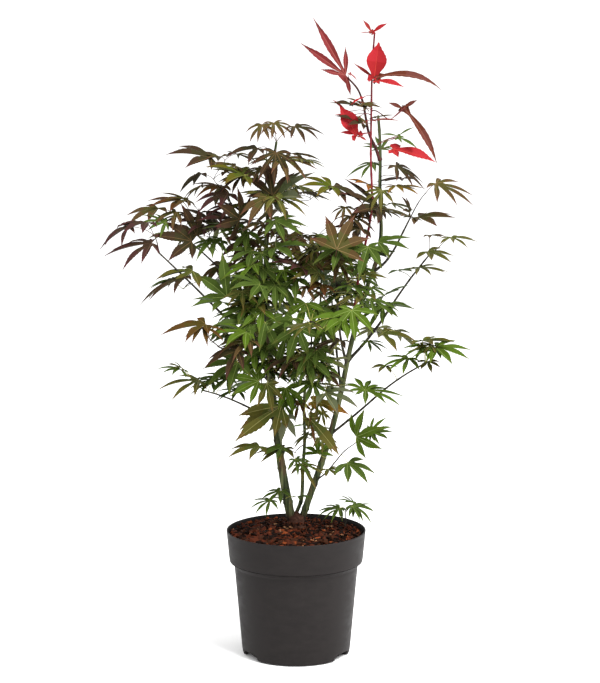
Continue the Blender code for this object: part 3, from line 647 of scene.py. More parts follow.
class Skin:
    """A Principled material, kept by name, and the patterns that are wired into it."""

    def __init__(self, name, colour, roughness, specular):
        material = bpy.data.materials.new(name)
        material.use_nodes = True
        self.tree = material.node_tree
        self.surface = self.tree.nodes["Principled BSDF"]
        self.set(self.surface, {"Base Color": (*colour, 1.0), "Roughness": roughness,
                                "Specular IOR Level": specular})
        materials[name] = material

    def set(self, node, inputs):
        """Sets a node's inputs by name, and links those whose value is another node's output."""
        for name, value in inputs.items():
            if isinstance(value, bpy.types.NodeSocket):
                self.tree.links.new(value, node.inputs[name])
            else:
                node.inputs[name].default_value = value

    def add(self, kind, inputs):
        """A new node of a kind, and its outputs."""
        node = self.tree.nodes.new("ShaderNode" + kind)
        self.set(node, inputs)
        return node.outputs

    def noise(self, scale, detail, stretch=(1, 1, 1), distortion=0.0):
        """Noise in the object's own space, stretched along an axis where its part is below 1."""
        place = self.add("TexCoord", {})["Object"]
        place = self.add("Mapping", {"Vector": place, "Scale": stretch})["Vector"]
        return self.add("TexNoise", {"Vector": place, "Scale": scale, "Detail": detail,
                                     "Distortion": distortion})["Fac"]

    def ramp(self, factor, *stops):
        """Colours blended along a factor, from (place, colour) stops. A single number is a grey."""
        ramp = self.tree.nodes.new("ShaderNodeValToRGB")
        elements = ramp.color_ramp.elements
        while len(elements) < len(stops):
            elements.new(0.5)
        for element, (place, colour) in zip(elements, stops):
            element.position = place
            element.color = (*np.broadcast_to(colour, 3), 1.0)
        self.set(ramp, {"Fac": factor})
        return ramp.outputs["Color"]

    def mix(self, factor, first, second):
        """Two colours mixed by a factor."""
        mix = self.tree.nodes.new("ShaderNodeMix")
        mix.data_type = "RGBA"
        self.set(mix, {"Factor": factor, "A": first, "B": second})
        return mix.outputs["Result"]

    def colour(self, colour):
        self.set(self.surface, {"Base Color": colour})

    def roughness(self, factor, lowest, highest):
        least, most = ROUGHNESS_FACTORS
        spread = self.add("MapRange", {"Value": factor, "From Min": least, "From Max": most,
                                       "To Min": lowest, "To Max": highest})
        self.set(self.surface, {"Roughness": spread["Result"]})

    def bump(self, factor, strength, depth):
        bump = self.add("Bump", {"Height": factor, "Strength": strength, "Distance": depth})
        self.set(self.surface, {"Normal": bump["Normal"]})


def make_plain_skin(name, colour, roughness, specular, grain, sheen, relief):
    """One colour with a fine grain of noise, which varies the roughness between the two of the sheen and
    raises a relief of a strength and a depth."""
    skin = Skin(name, colour, roughness, specular)
    noise_factor = skin.noise(*grain)
    skin.roughness(noise_factor, *sheen)
    skin.bump(noise_factor, *relief)


def make_bark(name, low, high, spot, roughness, relief):
    """Bark mottled between two colours in streaks along the stem, with small spots of a third."""
    skin = Skin(name, low, roughness, BARK_SPECULAR)
    streaks = skin.noise(260, 5.0, (1, 1, 0.16), 0.6)
    patches = skin.noise(60, 3.0, (1, 1, 0.5))
    spots = skin.noise(520, 2.0)
    ground = skin.ramp(streaks, (0.36, low), (0.62, high))
    darker = skin.ramp(patches, (0.35, np.multiply(0.55, low)), (0.66, high))
    ground = skin.mix(skin.ramp(patches, (0.42, 0.2), (0.58, 0.6)), ground, darker)
    ground = skin.mix(skin.ramp(spots, (0.60, 0), (0.66, 0.75)), ground, (*spot, 1.0))
    skin.colour(ground)
    skin.roughness(patches, roughness - 0.1, roughness + 0.12)
    skin.bump(streaks, relief, RELIEF_DEPTH)


def make_stem_skin():
    """Green bark in dark and pale streaks up the stem, with brown patches, browner near the stool."""
    skin = Skin("stem_skin", (0.018, 0.023, 0.007), 0.62, BARK_SPECULAR)
    streaks = skin.noise(230, 3.0, (1, 1, 0.035), 0.3)
    patches = skin.noise(75, 4.0, (1, 1, 0.30), 0.4)
    ground = skin.ramp(streaks, (0.34, (0.009, 0.013, 0.006)), (0.48, (0.036, 0.046, 0.018)),
                       (0.58, (0.070, 0.082, 0.032)), (0.68, (0.120, 0.125, 0.058)))
    brown = skin.ramp(streaks, (0.36, (0.026, 0.013, 0.008)), (0.62, (0.090, 0.052, 0.030)))
    ground = skin.mix(skin.ramp(patches, (0.55, 0), (0.64, 0.8)), ground, brown)
    place = skin.add("SeparateXYZ", {"Vector": skin.add("TexCoord", {})["Object"]})
    near = skin.add("MapRange", {"Value": place["Z"], "From Min": STEM_BROWN_TOP,
                                 "From Max": STEM_BROWN_BOTTOM})
    foot = skin.ramp(streaks, (0.40, (0.010, 0.006, 0.004)), (0.60, (0.034, 0.018, 0.012)))
    skin.colour(skin.mix(near["Result"], ground, foot))
    skin.roughness(patches, 0.52, 0.74)
    skin.bump(streaks, 0.5, RELIEF_DEPTH)


def make_pot_skin():
    """Dark moulded plastic, a little paler where it is scuffed."""
    skin = Skin("pot_matte", (0.0128, 0.0106, 0.0103), 0.5, 0.09)
    scuffs = skin.noise(55, 6.0, (1, 1, 2.2), 0.4)
    skin.colour(skin.ramp(scuffs, (0.35, (0.0115, 0.0097, 0.0094)), (0.70, (0.0150, 0.0127, 0.0123))))
    skin.roughness(scuffs, 0.44, 0.60)
    skin.bump(skin.noise(1300, 2.0), 0.18, FINE_RELIEF_DEPTH)


def make_compost_skin():
    skin = Skin("compost", (0.010, 0.005, 0.0035), 0.95, 0.04)
    crumbs = skin.noise(420, 6.0)
    skin.colour(skin.ramp(crumbs, (0.35, (0.005, 0.0025, 0.002)), (0.65, (0.026, 0.010, 0.006))))
    skin.roughness(crumbs, 0.86, 1.0)
    skin.bump(crumbs, 0.9, CRUMB_RELIEF_DEPTH)


def make_materials():
    """The skins. Each tint of leaf has five plain colours, with a fine crinkle and an uneven sheen."""
    for tint, colours in TINTS.items():
        for zone, colour in zip(ZONES, colours):
            rough = LEAF_ROUGHNESS[zone == "under"]
            make_plain_skin(f"{tint}_{zone}", [part / 1000 for part in colour], rough, LEAF_SPECULAR,
                            (420, 3.0), (rough - 0.07, rough + 0.13), (0.25, RELIEF_DEPTH))
    for name, colour in CHIP_COLOURS.items():
        make_plain_skin(name, colour, 0.85, 0.05, (900, 5.0, (1, 1, 0.4)), (0.7, 0.98), (0.6, RELIEF_DEPTH))
    for name, colour in PETIOLE_COLOURS.items():
        make_plain_skin(name, colour, 0.5, 0.12, (300, 3.0), (0.42, 0.60), (0.2, FINE_RELIEF_DEPTH))
    for name, bark in BARKS.items():
        make_bark(name, *bark)
    make_pot_skin()
    make_compost_skin()
    make_stem_skin()


def add_object(name, data):
    """A new object in the scene."""
    thing = bpy.data.objects.new(name, data)
    bpy.context.scene.collection.objects.link(thing)
    return thing


class Patchwork:
    """Gathers faces, each with a material, into one mesh."""

    def __init__(self):
        self.points, self.corners, self.sizes, self.skins, self.rims, self.maps = [], [], [], [], [], []
        self.count = 0

    def add(self, points, corners, sizes, skins, rims=None, places=None):
        """Points, corner indices in face order, corners per face and a material name per face. A rim
        point lies on an edge that stays sharp. Places are the points' places on the flat map."""
        points = np.asarray(points, float)
        self.points.append(points)
        self.corners.append(np.asarray(corners, np.int64) + self.count)
        self.sizes.append(np.asarray(sizes, np.int64))
        self.skins.extend(skins)
        self.rims.append(np.zeros(len(points), bool) if rims is None else rims)
        self.maps.append(np.zeros((len(points), 2)) if places is None else places)
        self.count += len(points)

    def make(self, name, mapped=False):
        points = np.concatenate(self.points)
        corners = np.concatenate(self.corners)
        sizes = np.concatenate(self.sizes)
        rims = np.concatenate(self.rims)
        mesh = bpy.data.meshes.new(name)
        mesh.vertices.add(len(points))
        mesh.vertices.foreach_set("co", points.astype(np.float32).ravel())
        mesh.loops.add(len(corners))
        mesh.loops.foreach_set("vertex_index", corners.astype(np.int32))
        mesh.polygons.add(len(sizes))
        starts = np.concatenate(((0,), np.cumsum(sizes)[:-1]))
        mesh.polygons.foreach_set("loop_start", starts.astype(np.int32))
        names = sorted(set(self.skins))
        numbers = {skin: index for index, skin in enumerate(names)}
        chosen = np.array([numbers[skin] for skin in self.skins], np.int32)
        mesh.polygons.foreach_set("material_index", chosen)
        for skin in names:
            mesh.materials.append(materials[skin])
        mesh.update(calc_edges=True)
        if rims.any():
            ends = np.empty(2 * len(mesh.edges), np.int32)
            mesh.edges.foreach_get("vertices", ends)
            sharp = rims[ends].reshape(-1, 2).all(axis=1)
            mesh.attributes.new("sharp_edge", "BOOLEAN", "EDGE").data.foreach_set("value", sharp)
        if mapped:
            flat = np.concatenate(self.maps)[corners]
            layer = mesh.uv_layers.new(name="OFBake")
            layer.uv.foreach_set("vector", flat.astype(np.float32).ravel())
        mesh.validate()
        return add_object(name, mesh)


def finish_piece(piece, nodes):
    """Fixes a piece to the plant and hides the solids that it stands for."""
    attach(piece, "root")
    if nodes:
        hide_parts(*nodes)


def unit(vector):
    return vector / max(1e-9, np.linalg.norm(vector))


def heading_of(degrees, rise=0.0):
    """The unit vector that points to a heading and rises by an angle, in degrees."""
    turn = math.radians(degrees)
    lift = math.radians(rise)
    return np.array((math.cos(lift) * math.cos(turn), math.cos(lift) * math.sin(turn), math.sin(lift)))


def between(keys, fraction):
    """The value at a fraction of the way along evenly spaced keys."""
    place = fraction * (len(keys) - 1)
    low = min(int(place), len(keys) - 2)
    return keys[low] + (keys[low + 1] - keys[low]) * (place - low)


def smooth_curve(points, step):
    """A Catmull-Rom curve through points, with a point about every step."""
    points = np.asarray(points)
    ends = np.vstack((2 * points[0] - points[1], points, 2 * points[-1] - points[-2]))
    curve = []
    for index in range(len(points) - 1):
        before, first, second, after = ends[index:index + 4]
        count = max(1, round(float(np.linalg.norm(second - first)) / step))
        for t in np.arange(count) / count:
            curve.append(0.5 * (2 * first + (second - before) * t
                                + (2 * before - 5 * first + 4 * second - after) * t ** 2
                                + (3 * first - before - 3 * second + after) * t ** 3))
    curve.append(points[-1])
    return np.array(curve)


def hermite(start, start_way, end, end_way, steps):
    """A curve from one point and direction to another, the directions as long as the pull they have."""
    t = np.linspace(0, 1, steps + 1)[:, None]
    return ((2 * t ** 3 - 3 * t ** 2 + 1) * start + (t ** 3 - 2 * t ** 2 + t) * start_way
            + (3 * t ** 2 - 2 * t ** 3) * end + (t ** 3 - t ** 2) * end_way)


def frames_along(points):
    """The way ahead and two directions square to it at each point, without twist."""
    ahead = np.gradient(points, axis=0)
    ahead /= np.linalg.norm(ahead, axis=1)[:, None]
    side = np.array((1.0, 0.0, 0.0)) if abs(ahead[0][0]) < 0.9 else np.array((0.0, 1.0, 0.0))
    sides = []
    for way in ahead:
        side = unit(side - way * side.dot(way))
        sides.append(side)
    sides = np.array(sides)
    return ahead, sides, np.cross(ahead, sides)


def add_rings(patchwork, rings, foot, tip, skin, places=None):
    """A closed skin over rings of points, drawn to a point at the foot and another at the tip."""
    count, sides = rings.shape[:2]
    step = np.arange(sides)
    after = (step + 1) % sides
    low = sides * np.arange(count - 1)[:, None]
    last = sides * (count - 1)
    walls = np.stack((low + step, low + after, low + sides + after, low + sides + step), axis=-1)
    feet = np.stack((np.full(sides, count * sides), after, step), axis=-1)
    tips = np.stack((np.full(sides, count * sides + 1), last + step, last + after), axis=-1)
    corners = np.concatenate((walls.ravel(), feet.ravel(), tips.ravel()))
    sizes = np.repeat((4, 3), (sides * (count - 1), 2 * sides))
    points = np.vstack((rings.reshape(-1, 3), foot, tip))
    patchwork.add(points, corners, sizes, [skin] * len(sizes), places=places)


def add_tube(patchwork, points, radii, sides, skin):
    """A closed round tube. The radii are one for each ring, or one for each point of each ring."""
    rings = len(points)
    ahead, side, other = frames_along(points)
    turns = 2 * np.pi * np.arange(sides) / sides
    radii = np.broadcast_to(np.reshape(radii, (rings, -1)), (rings, sides))
    out = side[:, None] * np.cos(turns)[:, None] + other[:, None] * np.sin(turns)[:, None]
    foot = points[0] - ahead[0] * radii[0].mean() * TUBE_ENDS[0]
    tip = points[-1] + ahead[-1] * radii[-1].mean() * TUBE_ENDS[1]
    flat = np.zeros((rings * sides + 2, 2))
    flat[:-2, 0] = np.tile(1 - np.abs(2 * np.arange(sides) / sides - 1), rings)
    flat[:-2, 1] = np.repeat(np.arange(rings) / (rings - 1), sides)
    add_rings(patchwork, points[:, None] + out * radii[:, :, None], foot, tip, skin, flat)


def soil_height(radius):
    """The height of the compost's crowned top at a radius."""
    slope = (SOIL_CROWN_HEIGHT - SOIL_EDGE_HEIGHT) / (RIM_RADIUS - SOIL_CROWN_RADIUS)
    return SOIL_CROWN_HEIGHT - slope * max(0.0, radius - SOIL_CROWN_RADIUS)


def add_turned(patchwork, profile, sides, skin, shape):
    """A solid turned round Z from (radius, height) points, both of whose ends lie on the axis. Shape
    changes the points of each ring, given their headings in degrees."""
    turns = 2 * np.pi * np.arange(sides) / sides
    rings = []
    for radius, height in profile[1:-1]:
        ring = np.stack((radius * np.cos(turns), radius * np.sin(turns), np.full(sides, height)), axis=-1)
        rings.append(shape(ring, np.degrees(turns)))
    add_rings(patchwork, np.array(rings), (0, 0, profile[0][1]), (0, 0, profile[-1][1]), skin)


def arc(centre, radius, first, last, steps):
    """Points of an arc in the profile's plane, from one angle to another in degrees."""
    return [(centre[0] + radius * math.cos(math.radians(angle)),
             centre[1] + radius * math.sin(math.radians(angle)))
            for angle in np.linspace(first, last, steps)]


def slope(first, last, shares, power=1.0):
    """Points of the profile at shares of the way between two, the radius drawn in by a power."""
    return [(first[0] + (last[0] - first[0]) * share ** power, first[1] + (last[1] - first[1]) * share)
            for share in shares]


def outer_radius(height):
    """The radius of the pot's outside at a height on its body, below the shoulder."""
    return FOOT_RADIUS + (SHOULDER_RADIUS - FOOT_RADIUS) * height / SHOULDER_BOTTOM


def angle_apart(headings, other):
    return np.abs((headings - other + 180) % 360 - 180)


def shape_foot(ring, headings):
    """Lifts the pot's lowest points over its drainage notches, and a little between its feet."""
    outer = np.hypot(ring[:, 0], ring[:, 1]) > FOOT_RADIUS - NOTCH_DEPTH
    off_pads = np.min([angle_apart(headings, pad) for pad in PAD_HEADINGS], axis=0)
    off_pads = np.radians(off_pads) * FOOT_RADIUS - PAD_WIDTH / 2
    lift = np.where((off_pads > 0) & outer, PAD_STEP, 0.0)
    for notch in NOTCH_HEADINGS:
        across = np.radians(angle_apart(headings, notch)) * FOOT_RADIUS / (NOTCH_WIDTH / 2)
        arch = NOTCH_HEIGHT * np.sqrt(np.clip(1 - across ** 4, 0, None))
        lift = np.where(outer, np.maximum(lift, arch), lift)
    ring[:, 2] = np.maximum(ring[:, 2], lift)
    return ring


def make_pot():
    """The moulded pot: a tapered body, a groove, a splayed shoulder and a collar with a rounded lip."""
    foot = FOOT_RADIUS - NOTCH_DEPTH
    groove = COLLAR_RADIUS - 2 * GROOVE_DEPTH
    collar_foot = (COLLAR_RADIUS - COLLAR_ROUNDING, COLLAR_BOTTOM + COLLAR_ROUNDING)
    profile = [(0, 0), (FOOT_RADIUS - 2 * NOTCH_DEPTH, 0), (foot, 0), (foot + PAD_STEP, 0),
               (FOOT_RADIUS - 2 * FOOT_ROUNDING, 0)]
    profile += arc((FOOT_RADIUS - FOOT_ROUNDING, FOOT_ROUNDING), FOOT_ROUNDING, -90, -4, 8)
    profile += [(outer_radius(height), height)
                for height in np.linspace(2 * FOOT_ROUNDING, SHOULDER_BOTTOM - GROOVE_HEIGHT, 24)]
    profile += slope((SHOULDER_RADIUS, SHOULDER_BOTTOM),
                     (COLLAR_RADIUS - GROOVE_DEPTH, COLLAR_BOTTOM - GROOVE_HEIGHT),
                     np.linspace(0, 1, 9), SHOULDER_SPLAY)
    profile += [(groove, COLLAR_BOTTOM - share * GROOVE_HEIGHT) for share in (0.8, 0.1)]
    profile += arc(collar_foot, COLLAR_ROUNDING, -80, 0, 6)
    profile += slope((COLLAR_RADIUS, COLLAR_BOTTOM), (RIM_RADIUS, POT_HEIGHT), np.linspace(0.12, 0.97, 12))
    profile += arc((RIM_RADIUS - LIP_ROUNDING, POT_HEIGHT - LIP_ROUNDING), LIP_ROUNDING, 0, 180, 9)
    profile += slope((RIM_RADIUS - POT_WALL, POT_HEIGHT), (COLLAR_RADIUS - POT_WALL, COLLAR_BOTTOM),
                     np.linspace(0.03, 1, 8))
    profile += [(SHOULDER_RADIUS - POT_WALL, SHOULDER_BOTTOM),
                (outer_radius(POT_FLOOR) - POT_WALL, POT_FLOOR_TOP),
                (outer_radius(POT_FLOOR) - 2 * POT_WALL, POT_FLOOR_TOP), (0, POT_FLOOR_TOP)]
    patchwork = Patchwork()
    add_turned(patchwork, profile, POT_SIDES, "pot_matte", shape_foot)
    pot = patchwork.make("moulded_pot")
    pot.data.set_sharp_from_angle(angle=math.radians(POT_SHARP_ANGLE))
    finish_piece(pot, ["pot"])


def crumble(ring, _):
    """Raises and lowers the points at the top of the compost, so that it looks crumbly."""
    for point in ring:
        if point[2] > SOIL_EDGE_HEIGHT - CRUMB_DEPTH:
            point[2] += SOIL_RELIEF * noise.noise(Vector(point) * SOIL_LUMPS)
    return ring


def make_compost():
    """The crumbly mound of compost."""
    reach = RIM_RADIUS - POT_WALL - SOIL_GAP
    profile = [(0, SOIL_EDGE_HEIGHT - SOIL_SIDE[0][1])]
    profile += [(reach - inward, SOIL_EDGE_HEIGHT - depth) for inward, depth in SOIL_SIDE]
    profile += [(radius, soil_height(radius) - SOIL_SINK)
                for radius in np.linspace(reach, SOIL_INNERMOST, SOIL_RINGS)]
    profile.append((0, SOIL_CROWN_HEIGHT - SOIL_SINK))
    patchwork = Patchwork()
    add_turned(patchwork, profile, SOIL_SIDES, "compost", crumble)
    finish_piece(patchwork.make("compost_mound"), ["soil"])


def chip_by_stool(random):
    """The length of a chip that lies against the stool, and its radius and height in the pot."""
    share = STOOL_CHIP_REACH * random.uniform() ** STOOL_CHIP_POWER
    length = random.uniform(*STOOL_CHIP_LENGTHS)
    return length, stool_radius(share) + STOOL_CHIP_GAP, STOOL_BOTTOM + STOOL_HEIGHT * share


def chip_on_compost(turn, random):
    """The same for a chip that lies on the compost at a heading."""
    reach = math.sqrt(random.uniform())
    coarse = CHIP_COARSENESS + CHIP_COARSE_RANGE * reach * math.cos(turn - CHIP_COARSE_HEADING)
    least, most = CHIP_LENGTHS
    length = least + (most - least) * coarse * random.uniform() ** CHIP_LENGTH_POWER
    radius = reach * (CHIP_REACH - CHIP_EDGE_SHARE * length)
    return length, radius, soil_height(radius) + random.uniform(*CHIP_LIFT)


def make_chips(random):
    """The bark chips. Each is a flattened, uneven icosahedron."""
    chips = Patchwork()
    corners = np.ravel(CHIP_FACES)
    names = list(CHIP_COLOURS)
    grid = math.ceil(math.sqrt(CHIP_COUNT))
    for number in range(CHIP_COUNT):
        turn = random.uniform(0, 2 * math.pi)
        on_stool = number < STOOL_CHIPS
        length, radius, height = chip_by_stool(random) if on_stool else chip_on_compost(turn, random)
        size = np.array((1, random.uniform(*CHIP_BREADTHS), random.uniform(*CHIP_DEPTHS))) * length / 2
        local = CHIP_CORNERS * (1 + random.normal(0, CHIP_UNEVENNESS, (len(CHIP_CORNERS), 1))) * size
        heading = heading_of(random.uniform(0, 360), random.normal(0, CHIP_TILT))
        across = unit(np.cross(UP + random.normal(0, CHIP_ROLL, 3), heading))
        above = np.cross(heading, across)
        centre = np.array((radius * math.cos(turn), radius * math.sin(turn), height))
        skin = names[random.choice(len(names), p=CHIP_SHARES)]
        cell = np.array((number % grid, number // grid)) / grid
        flat = cell + (0.5 + CHIP_MAP_SIZE * CHIP_CORNERS[:, :2]) / grid
        points = centre + local @ np.array((heading, across, above))
        if not on_stool:
            rise = CHIP_OUTER_RISE if radius > CHIP_INNER_RADIUS else CHIP_INNER_RISE
            points[:, 2] = np.minimum(points[:, 2], POT_HEIGHT + rise)
        chips.add(points, corners, np.full(len(CHIP_FACES), 3), [skin] * len(CHIP_FACES),
                  np.ones(len(CHIP_CORNERS), bool), flat)
    finish_piece(chips.make("bark_chips", mapped=True), [])


class Wood:
    """Every point of the wood that a twig or a leaf stalk may grow from."""

    def __init__(self):
        self.points, self.ways, self.radii, self.reds = [], [], [], []

    def add(self, points, radii, red, start=0):
        ways = frames_along(np.asarray(points))[0]
        self.points.extend(points[start:])
        self.ways.extend(ways[start:])
        self.radii.extend(radii[start:])
        self.reds.extend([red] * (len(points) - start))

    def nearest(self, target, red):
        """The index of the best point to grow from towards a target: near, and rather below it."""
        points = np.array(self.points)
        cost = np.linalg.norm(points - target, axis=1)
        cost += ABOVE_COST * np.clip(points[:, 2] - target[2], 0, None)
        cost += OTHER_COLOUR_COST * (np.array(self.reds) != red)
        return int(cost.argmin())


def limb_path(limb, paths):
    """The sections of a limb, each turned a little to the heading and rise at that height."""
    if limb.parent == "stool":
        start = np.array((*limb.foot, STEM_FOOT_HEIGHT))
    elif limb.parent == "soil":
        start = np.array((*limb.foot, soil_height(math.hypot(*limb.foot))))
    else:
        start = between(paths[limb.parent], limb.foot)
    steps = max(LIMB_FEWEST_SECTIONS, round(limb.length / LIMB_SECTION))
    points = [start]
    for step in range(steps):
        middle = (step + 0.5) / steps
        ahead = heading_of(between(limb.headings, middle), between(limb.rises, middle))
        points.append(points[-1] + ahead * limb.length / steps)
    return points


def bark_radii(limb, points, sides, random):
    """The radius at every point of every ring: taper, the swollen joints and nodes, and furrows."""
    share = np.linspace(0, 1, len(points))
    radius = limb.tip_radius + (limb.base_radius - limb.tip_radius) * (1 - share) ** LIMB_TAPER_POWER
    height = share * limb.length
    if limb.parent != "stool":
        radius *= 1 + JOINT_SWELL * np.exp(-height / JOINT_LENGTH)
    node = NODE_SPACING * random.uniform(*FIRST_NODES)
    while node < limb.length:
        radius *= 1 + NODE_SWELL * np.exp(-((height - node) / NODE_LENGTH) ** 2)
        node += NODE_SPACING * random.uniform(*NODE_GAPS)
    turns = 2 * np.pi * np.arange(sides) / sides
    phase = random.uniform(0, 6)
    drift = np.array([noise.noise(Vector((h * BARK_FURROW_DRIFT + phase, phase, 0))) for h in height])
    furrows = np.sin(BARK_FURROWS * turns[None, :] + BARK_FURROW_SWING * drift[:, None])
    lumps = np.array([[noise.noise(Vector((math.cos(t), math.sin(t), h * BARK_LUMPS + phase)))
                       for t in turns] for h in height])
    return radius[:, None] * (1 + BARK_RELIEF * (BARK_SHARES[0] * furrows + BARK_SHARES[1] * lumps))


def stool_radius(share):
    """The stool's radius at a share of its height."""
    return STOOL_TOP_RADIUS + (STOOL_FLARE_RADIUS - STOOL_TOP_RADIUS) * (1 - share) ** 2


def make_stool():
    """The brown woody foot, flared where it sits in the compost."""
    share = np.linspace(0, 1, STOOL_RINGS)
    points = np.stack((0 * share, 0 * share, STOOL_BOTTOM + STOOL_HEIGHT * share), axis=-1)
    radius = stool_radius(share)
    radius[-len(STOOL_TOP_ROUNDING):] *= STOOL_TOP_ROUNDING
    turns = 2 * np.pi * np.arange(STOOL_SIDES) / STOOL_SIDES
    relief = 0
    for around, along, begin, strength in STOOL_LUMPS:
        relief += strength * np.array([[
            noise.noise(Vector((around * math.cos(t), around * math.sin(t), along * s + begin)))
            for t in turns] for s in share])
    patchwork = Patchwork()
    radii = radius[:, None] + STOOL_RELIEF * relief - STOOL_INSET
    add_tube(patchwork, points, radii, STOOL_SIDES, "stool_skin")
    finish_piece(patchwork.make("woody_stool"), ["stool"])


def make_limbs(wood, random):
    paths = {}
    for limb in LIMBS:
        path = limb_path(limb, paths)
        paths[limb.name] = path
        if limb.parent == "stool":
            path = [STEM_ROOT + STEM_ROOT_SPREAD * (path[0] - STEM_ROOT)] + path
        points = smooth_curve(path, LIMB_RING_STEP)
        red = "red" in limb.name
        if limb.name.endswith("stem"):
            sides, skin, slot, bare = STEM_SIDES, "stem_skin", "stem_bark", STEM_BARE_SHARE
        else:
            sides, slot, bare = BOUGH_SIDES, "red_bark" if red else "twig_bark", BOUGH_BARE_SHARE
            skin = ("dark_red_skin" if "dark" in limb.name else "red_skin") if red else "bough_skin"
        radii = bark_radii(limb, points, sides, random)
        patchwork = Patchwork()
        add_tube(patchwork, points, radii, sides, skin)
        finish_piece(patchwork.make(limb.name + "_bark", mapped=True), [limb.name])
        first = int(len(points) * bare) // GROWTH_STEP
        wood.add(points[::GROWTH_STEP], radii.mean(axis=1)[::GROWTH_STEP], red, first)


class LeafPattern:
    """The flat pattern of a leaf of toothed lobes, one unit long, as arrays.

    Each of its points is one mark or the mean of two. A mark is a place in one lobe's own frame: the
    distance from the leaf's base along the lobe, the distance across it, and the height.
    """

    def __init__(self, form):
        self.form, self.breadth, self.sinus = form.lobes, form.breadth, form.sinus
        self.marks, self.points, self.corners, self.sizes, self.zones = [], [], [], [], []
        self.build()
        self.lobes = np.array([mark[0] for mark in self.marks])
        self.alongs, self.acrosses, self.heights = np.array([mark[1:] for mark in self.marks]).T
        self.pairs = np.array([point[:2] for point in self.points])
        self.rims, self.unders = np.array([point[2:] for point in self.points]).T
        self.corners, self.sizes = np.array(self.corners), np.array(self.sizes)
        self.members = [np.flatnonzero(self.lobes == index) for index in range(len(self.form))]

    def mark(self, lobe, along, across, height):
        self.marks.append((lobe, along, across, height))
        return len(self.marks) - 1

    def point(self, first, second=None, rim=False, under=False):
        self.points.append((first, first if second is None else second, rim, under))
        return len(self.points) - 1

    def face(self, corners, zone):
        corners = list(dict.fromkeys(corners))
        if len(corners) > 2:
            self.corners.extend(corners)
            self.sizes.append(len(corners))
            self.zones.append(zone)

    def station(self, lobe, row):
        """How far along a lobe its row of points lies. Rows up to WEB_ROWS lie within the web."""
        if row <= WEB_ROWS:
            return self.sinus * row / WEB_ROWS
        return self.sinus + (self.form[lobe][1] - self.sinus) * (row - WEB_ROWS) / (LOBE_ROWS - 1)

    def half_width(self, lobe, along, room):
        """Half a lobe's width, no wider than its share of the room between lobes."""
        size = self.form[lobe][1]
        fullness = SHORT_LOBE_BREADTH + (1 - SHORT_LOBE_BREADTH) * size
        width = between(LOBE_WIDTHS, min(1.0, along / size)) * fullness * self.breadth
        return min(width, LOBE_GAP * along * math.tan(math.radians(room)))

    def web_point(self, lobe, reach, room, drop=0.0, **kind):
        """A point in the web, midway between a lobe and the next, a little lower on the underside."""
        along, across = reach * math.cos(room), reach * math.sin(room)
        height = FOLD * across - drop
        return self.point(self.mark(lobe, along, across, height),
                          self.mark(lobe + 1, along, -across, height), **kind)

    def build(self):
        base = self.point(self.mark(len(self.form) // 2, 0.0, 0.0, 0.0), rim=True)
        rays = []
        for lobe in range(len(self.form) - 1):
            room = math.radians((self.form[lobe + 1][0] - self.form[lobe][0]) / 2)
            ray, below = [base], [base]
            for row in range(1, WEB_ROWS):
                reach = self.station(lobe, row)
                ray.append(self.web_point(lobe, reach, room))
                below.append(self.web_point(lobe, reach, room, BLADE_DEPTH / 2, under=True))
            ray.append(self.web_point(lobe, self.station(lobe, WEB_ROWS), room, rim=True))
            below.append(ray[-1])
            rays.append((ray, below))
        for lobe in range(len(self.form)):
            self.build_lobe(lobe, base, rays)

    def lobe_edge(self, lobe, way, base, rays, last_row):
        """The points along one edge of a lobe, on the upper side and on the underside."""
        inner = 0 <= lobe + way < len(self.form)
        room = abs(self.form[lobe + way][0] - self.form[lobe][0]) / 2 if inner else OUTER_EDGE_ANGLE
        top, below = [base], [base]
        for row in range(1, last_row):
            if inner and row <= WEB_ROWS:
                for edge, ray in zip((top, below), rays[min(lobe, lobe + way)]):
                    edge.append(ray[row])
                continue
            along = self.station(lobe, row)
            width = self.half_width(lobe, along, room)
            height = FOLD * width
            if row > WEB_ROWS and (row - WEB_ROWS) % 2 == 1:
                along += TOOTH_LEAN
                height -= TOOTH_CURL
            elif row > WEB_ROWS:
                width *= 1 - TOOTH_NOTCH / max(1.0, self.breadth)
                along -= NOTCH_LEAN * TOOTH_LEAN
            top.append(self.point(self.mark(lobe, along, way * width, height), rim=True))
            below.append(top[-1])
        return top, below

    def build_lobe(self, lobe, base, rays):
        last_row = WEB_ROWS + LOBE_ROWS - 1
        size = self.form[lobe][1]
        tip = self.point(self.mark(lobe, size, 0.0, 0.0), rim=True)
        left, left_below = self.lobe_edge(lobe, -1, base, rays, last_row)
        right, right_below = self.lobe_edge(lobe, 1, base, rays, last_row)
        rib_left, rib_below, rib_right = [base], [base], [base]
        for row in range(1, last_row):
            along = self.station(lobe, row)
            share = along / size
            narrow = RIB_HALF_WIDTH * (1 - RIB_TAPER * share)
            rib_left.append(self.point(self.mark(lobe, along, -narrow, 0.0)))
            rib_right.append(self.point(self.mark(lobe, along, narrow, 0.0)))
            rib_below.append(self.point(self.mark(lobe, along, 0.0, -BLADE_DEPTH * (RIB_DEPTH - share)),
                                        under=True))
        for line in (left, left_below, right, right_below, rib_left, rib_below, rib_right):
            line.append(tip)
        for row in range(last_row):
            share = self.station(lobe, row) / size
            zone = sum(share > end for end in ZONE_ENDS)
            after = row + 1
            self.face((left[row], rib_left[row], rib_left[after], left[after]), zone)
            self.face((rib_left[row], rib_right[row], rib_right[after], rib_left[after]), ZONES.index("rib"))
            self.face((rib_right[row], right[row], right[after], rib_right[after]), zone)
            self.face((left_below[row], left_below[after], rib_below[after], rib_below[row]),
                      ZONES.index("under"))
            self.face((rib_below[row], rib_below[after], right_below[after], right_below[row]),
                      ZONES.index("under"))

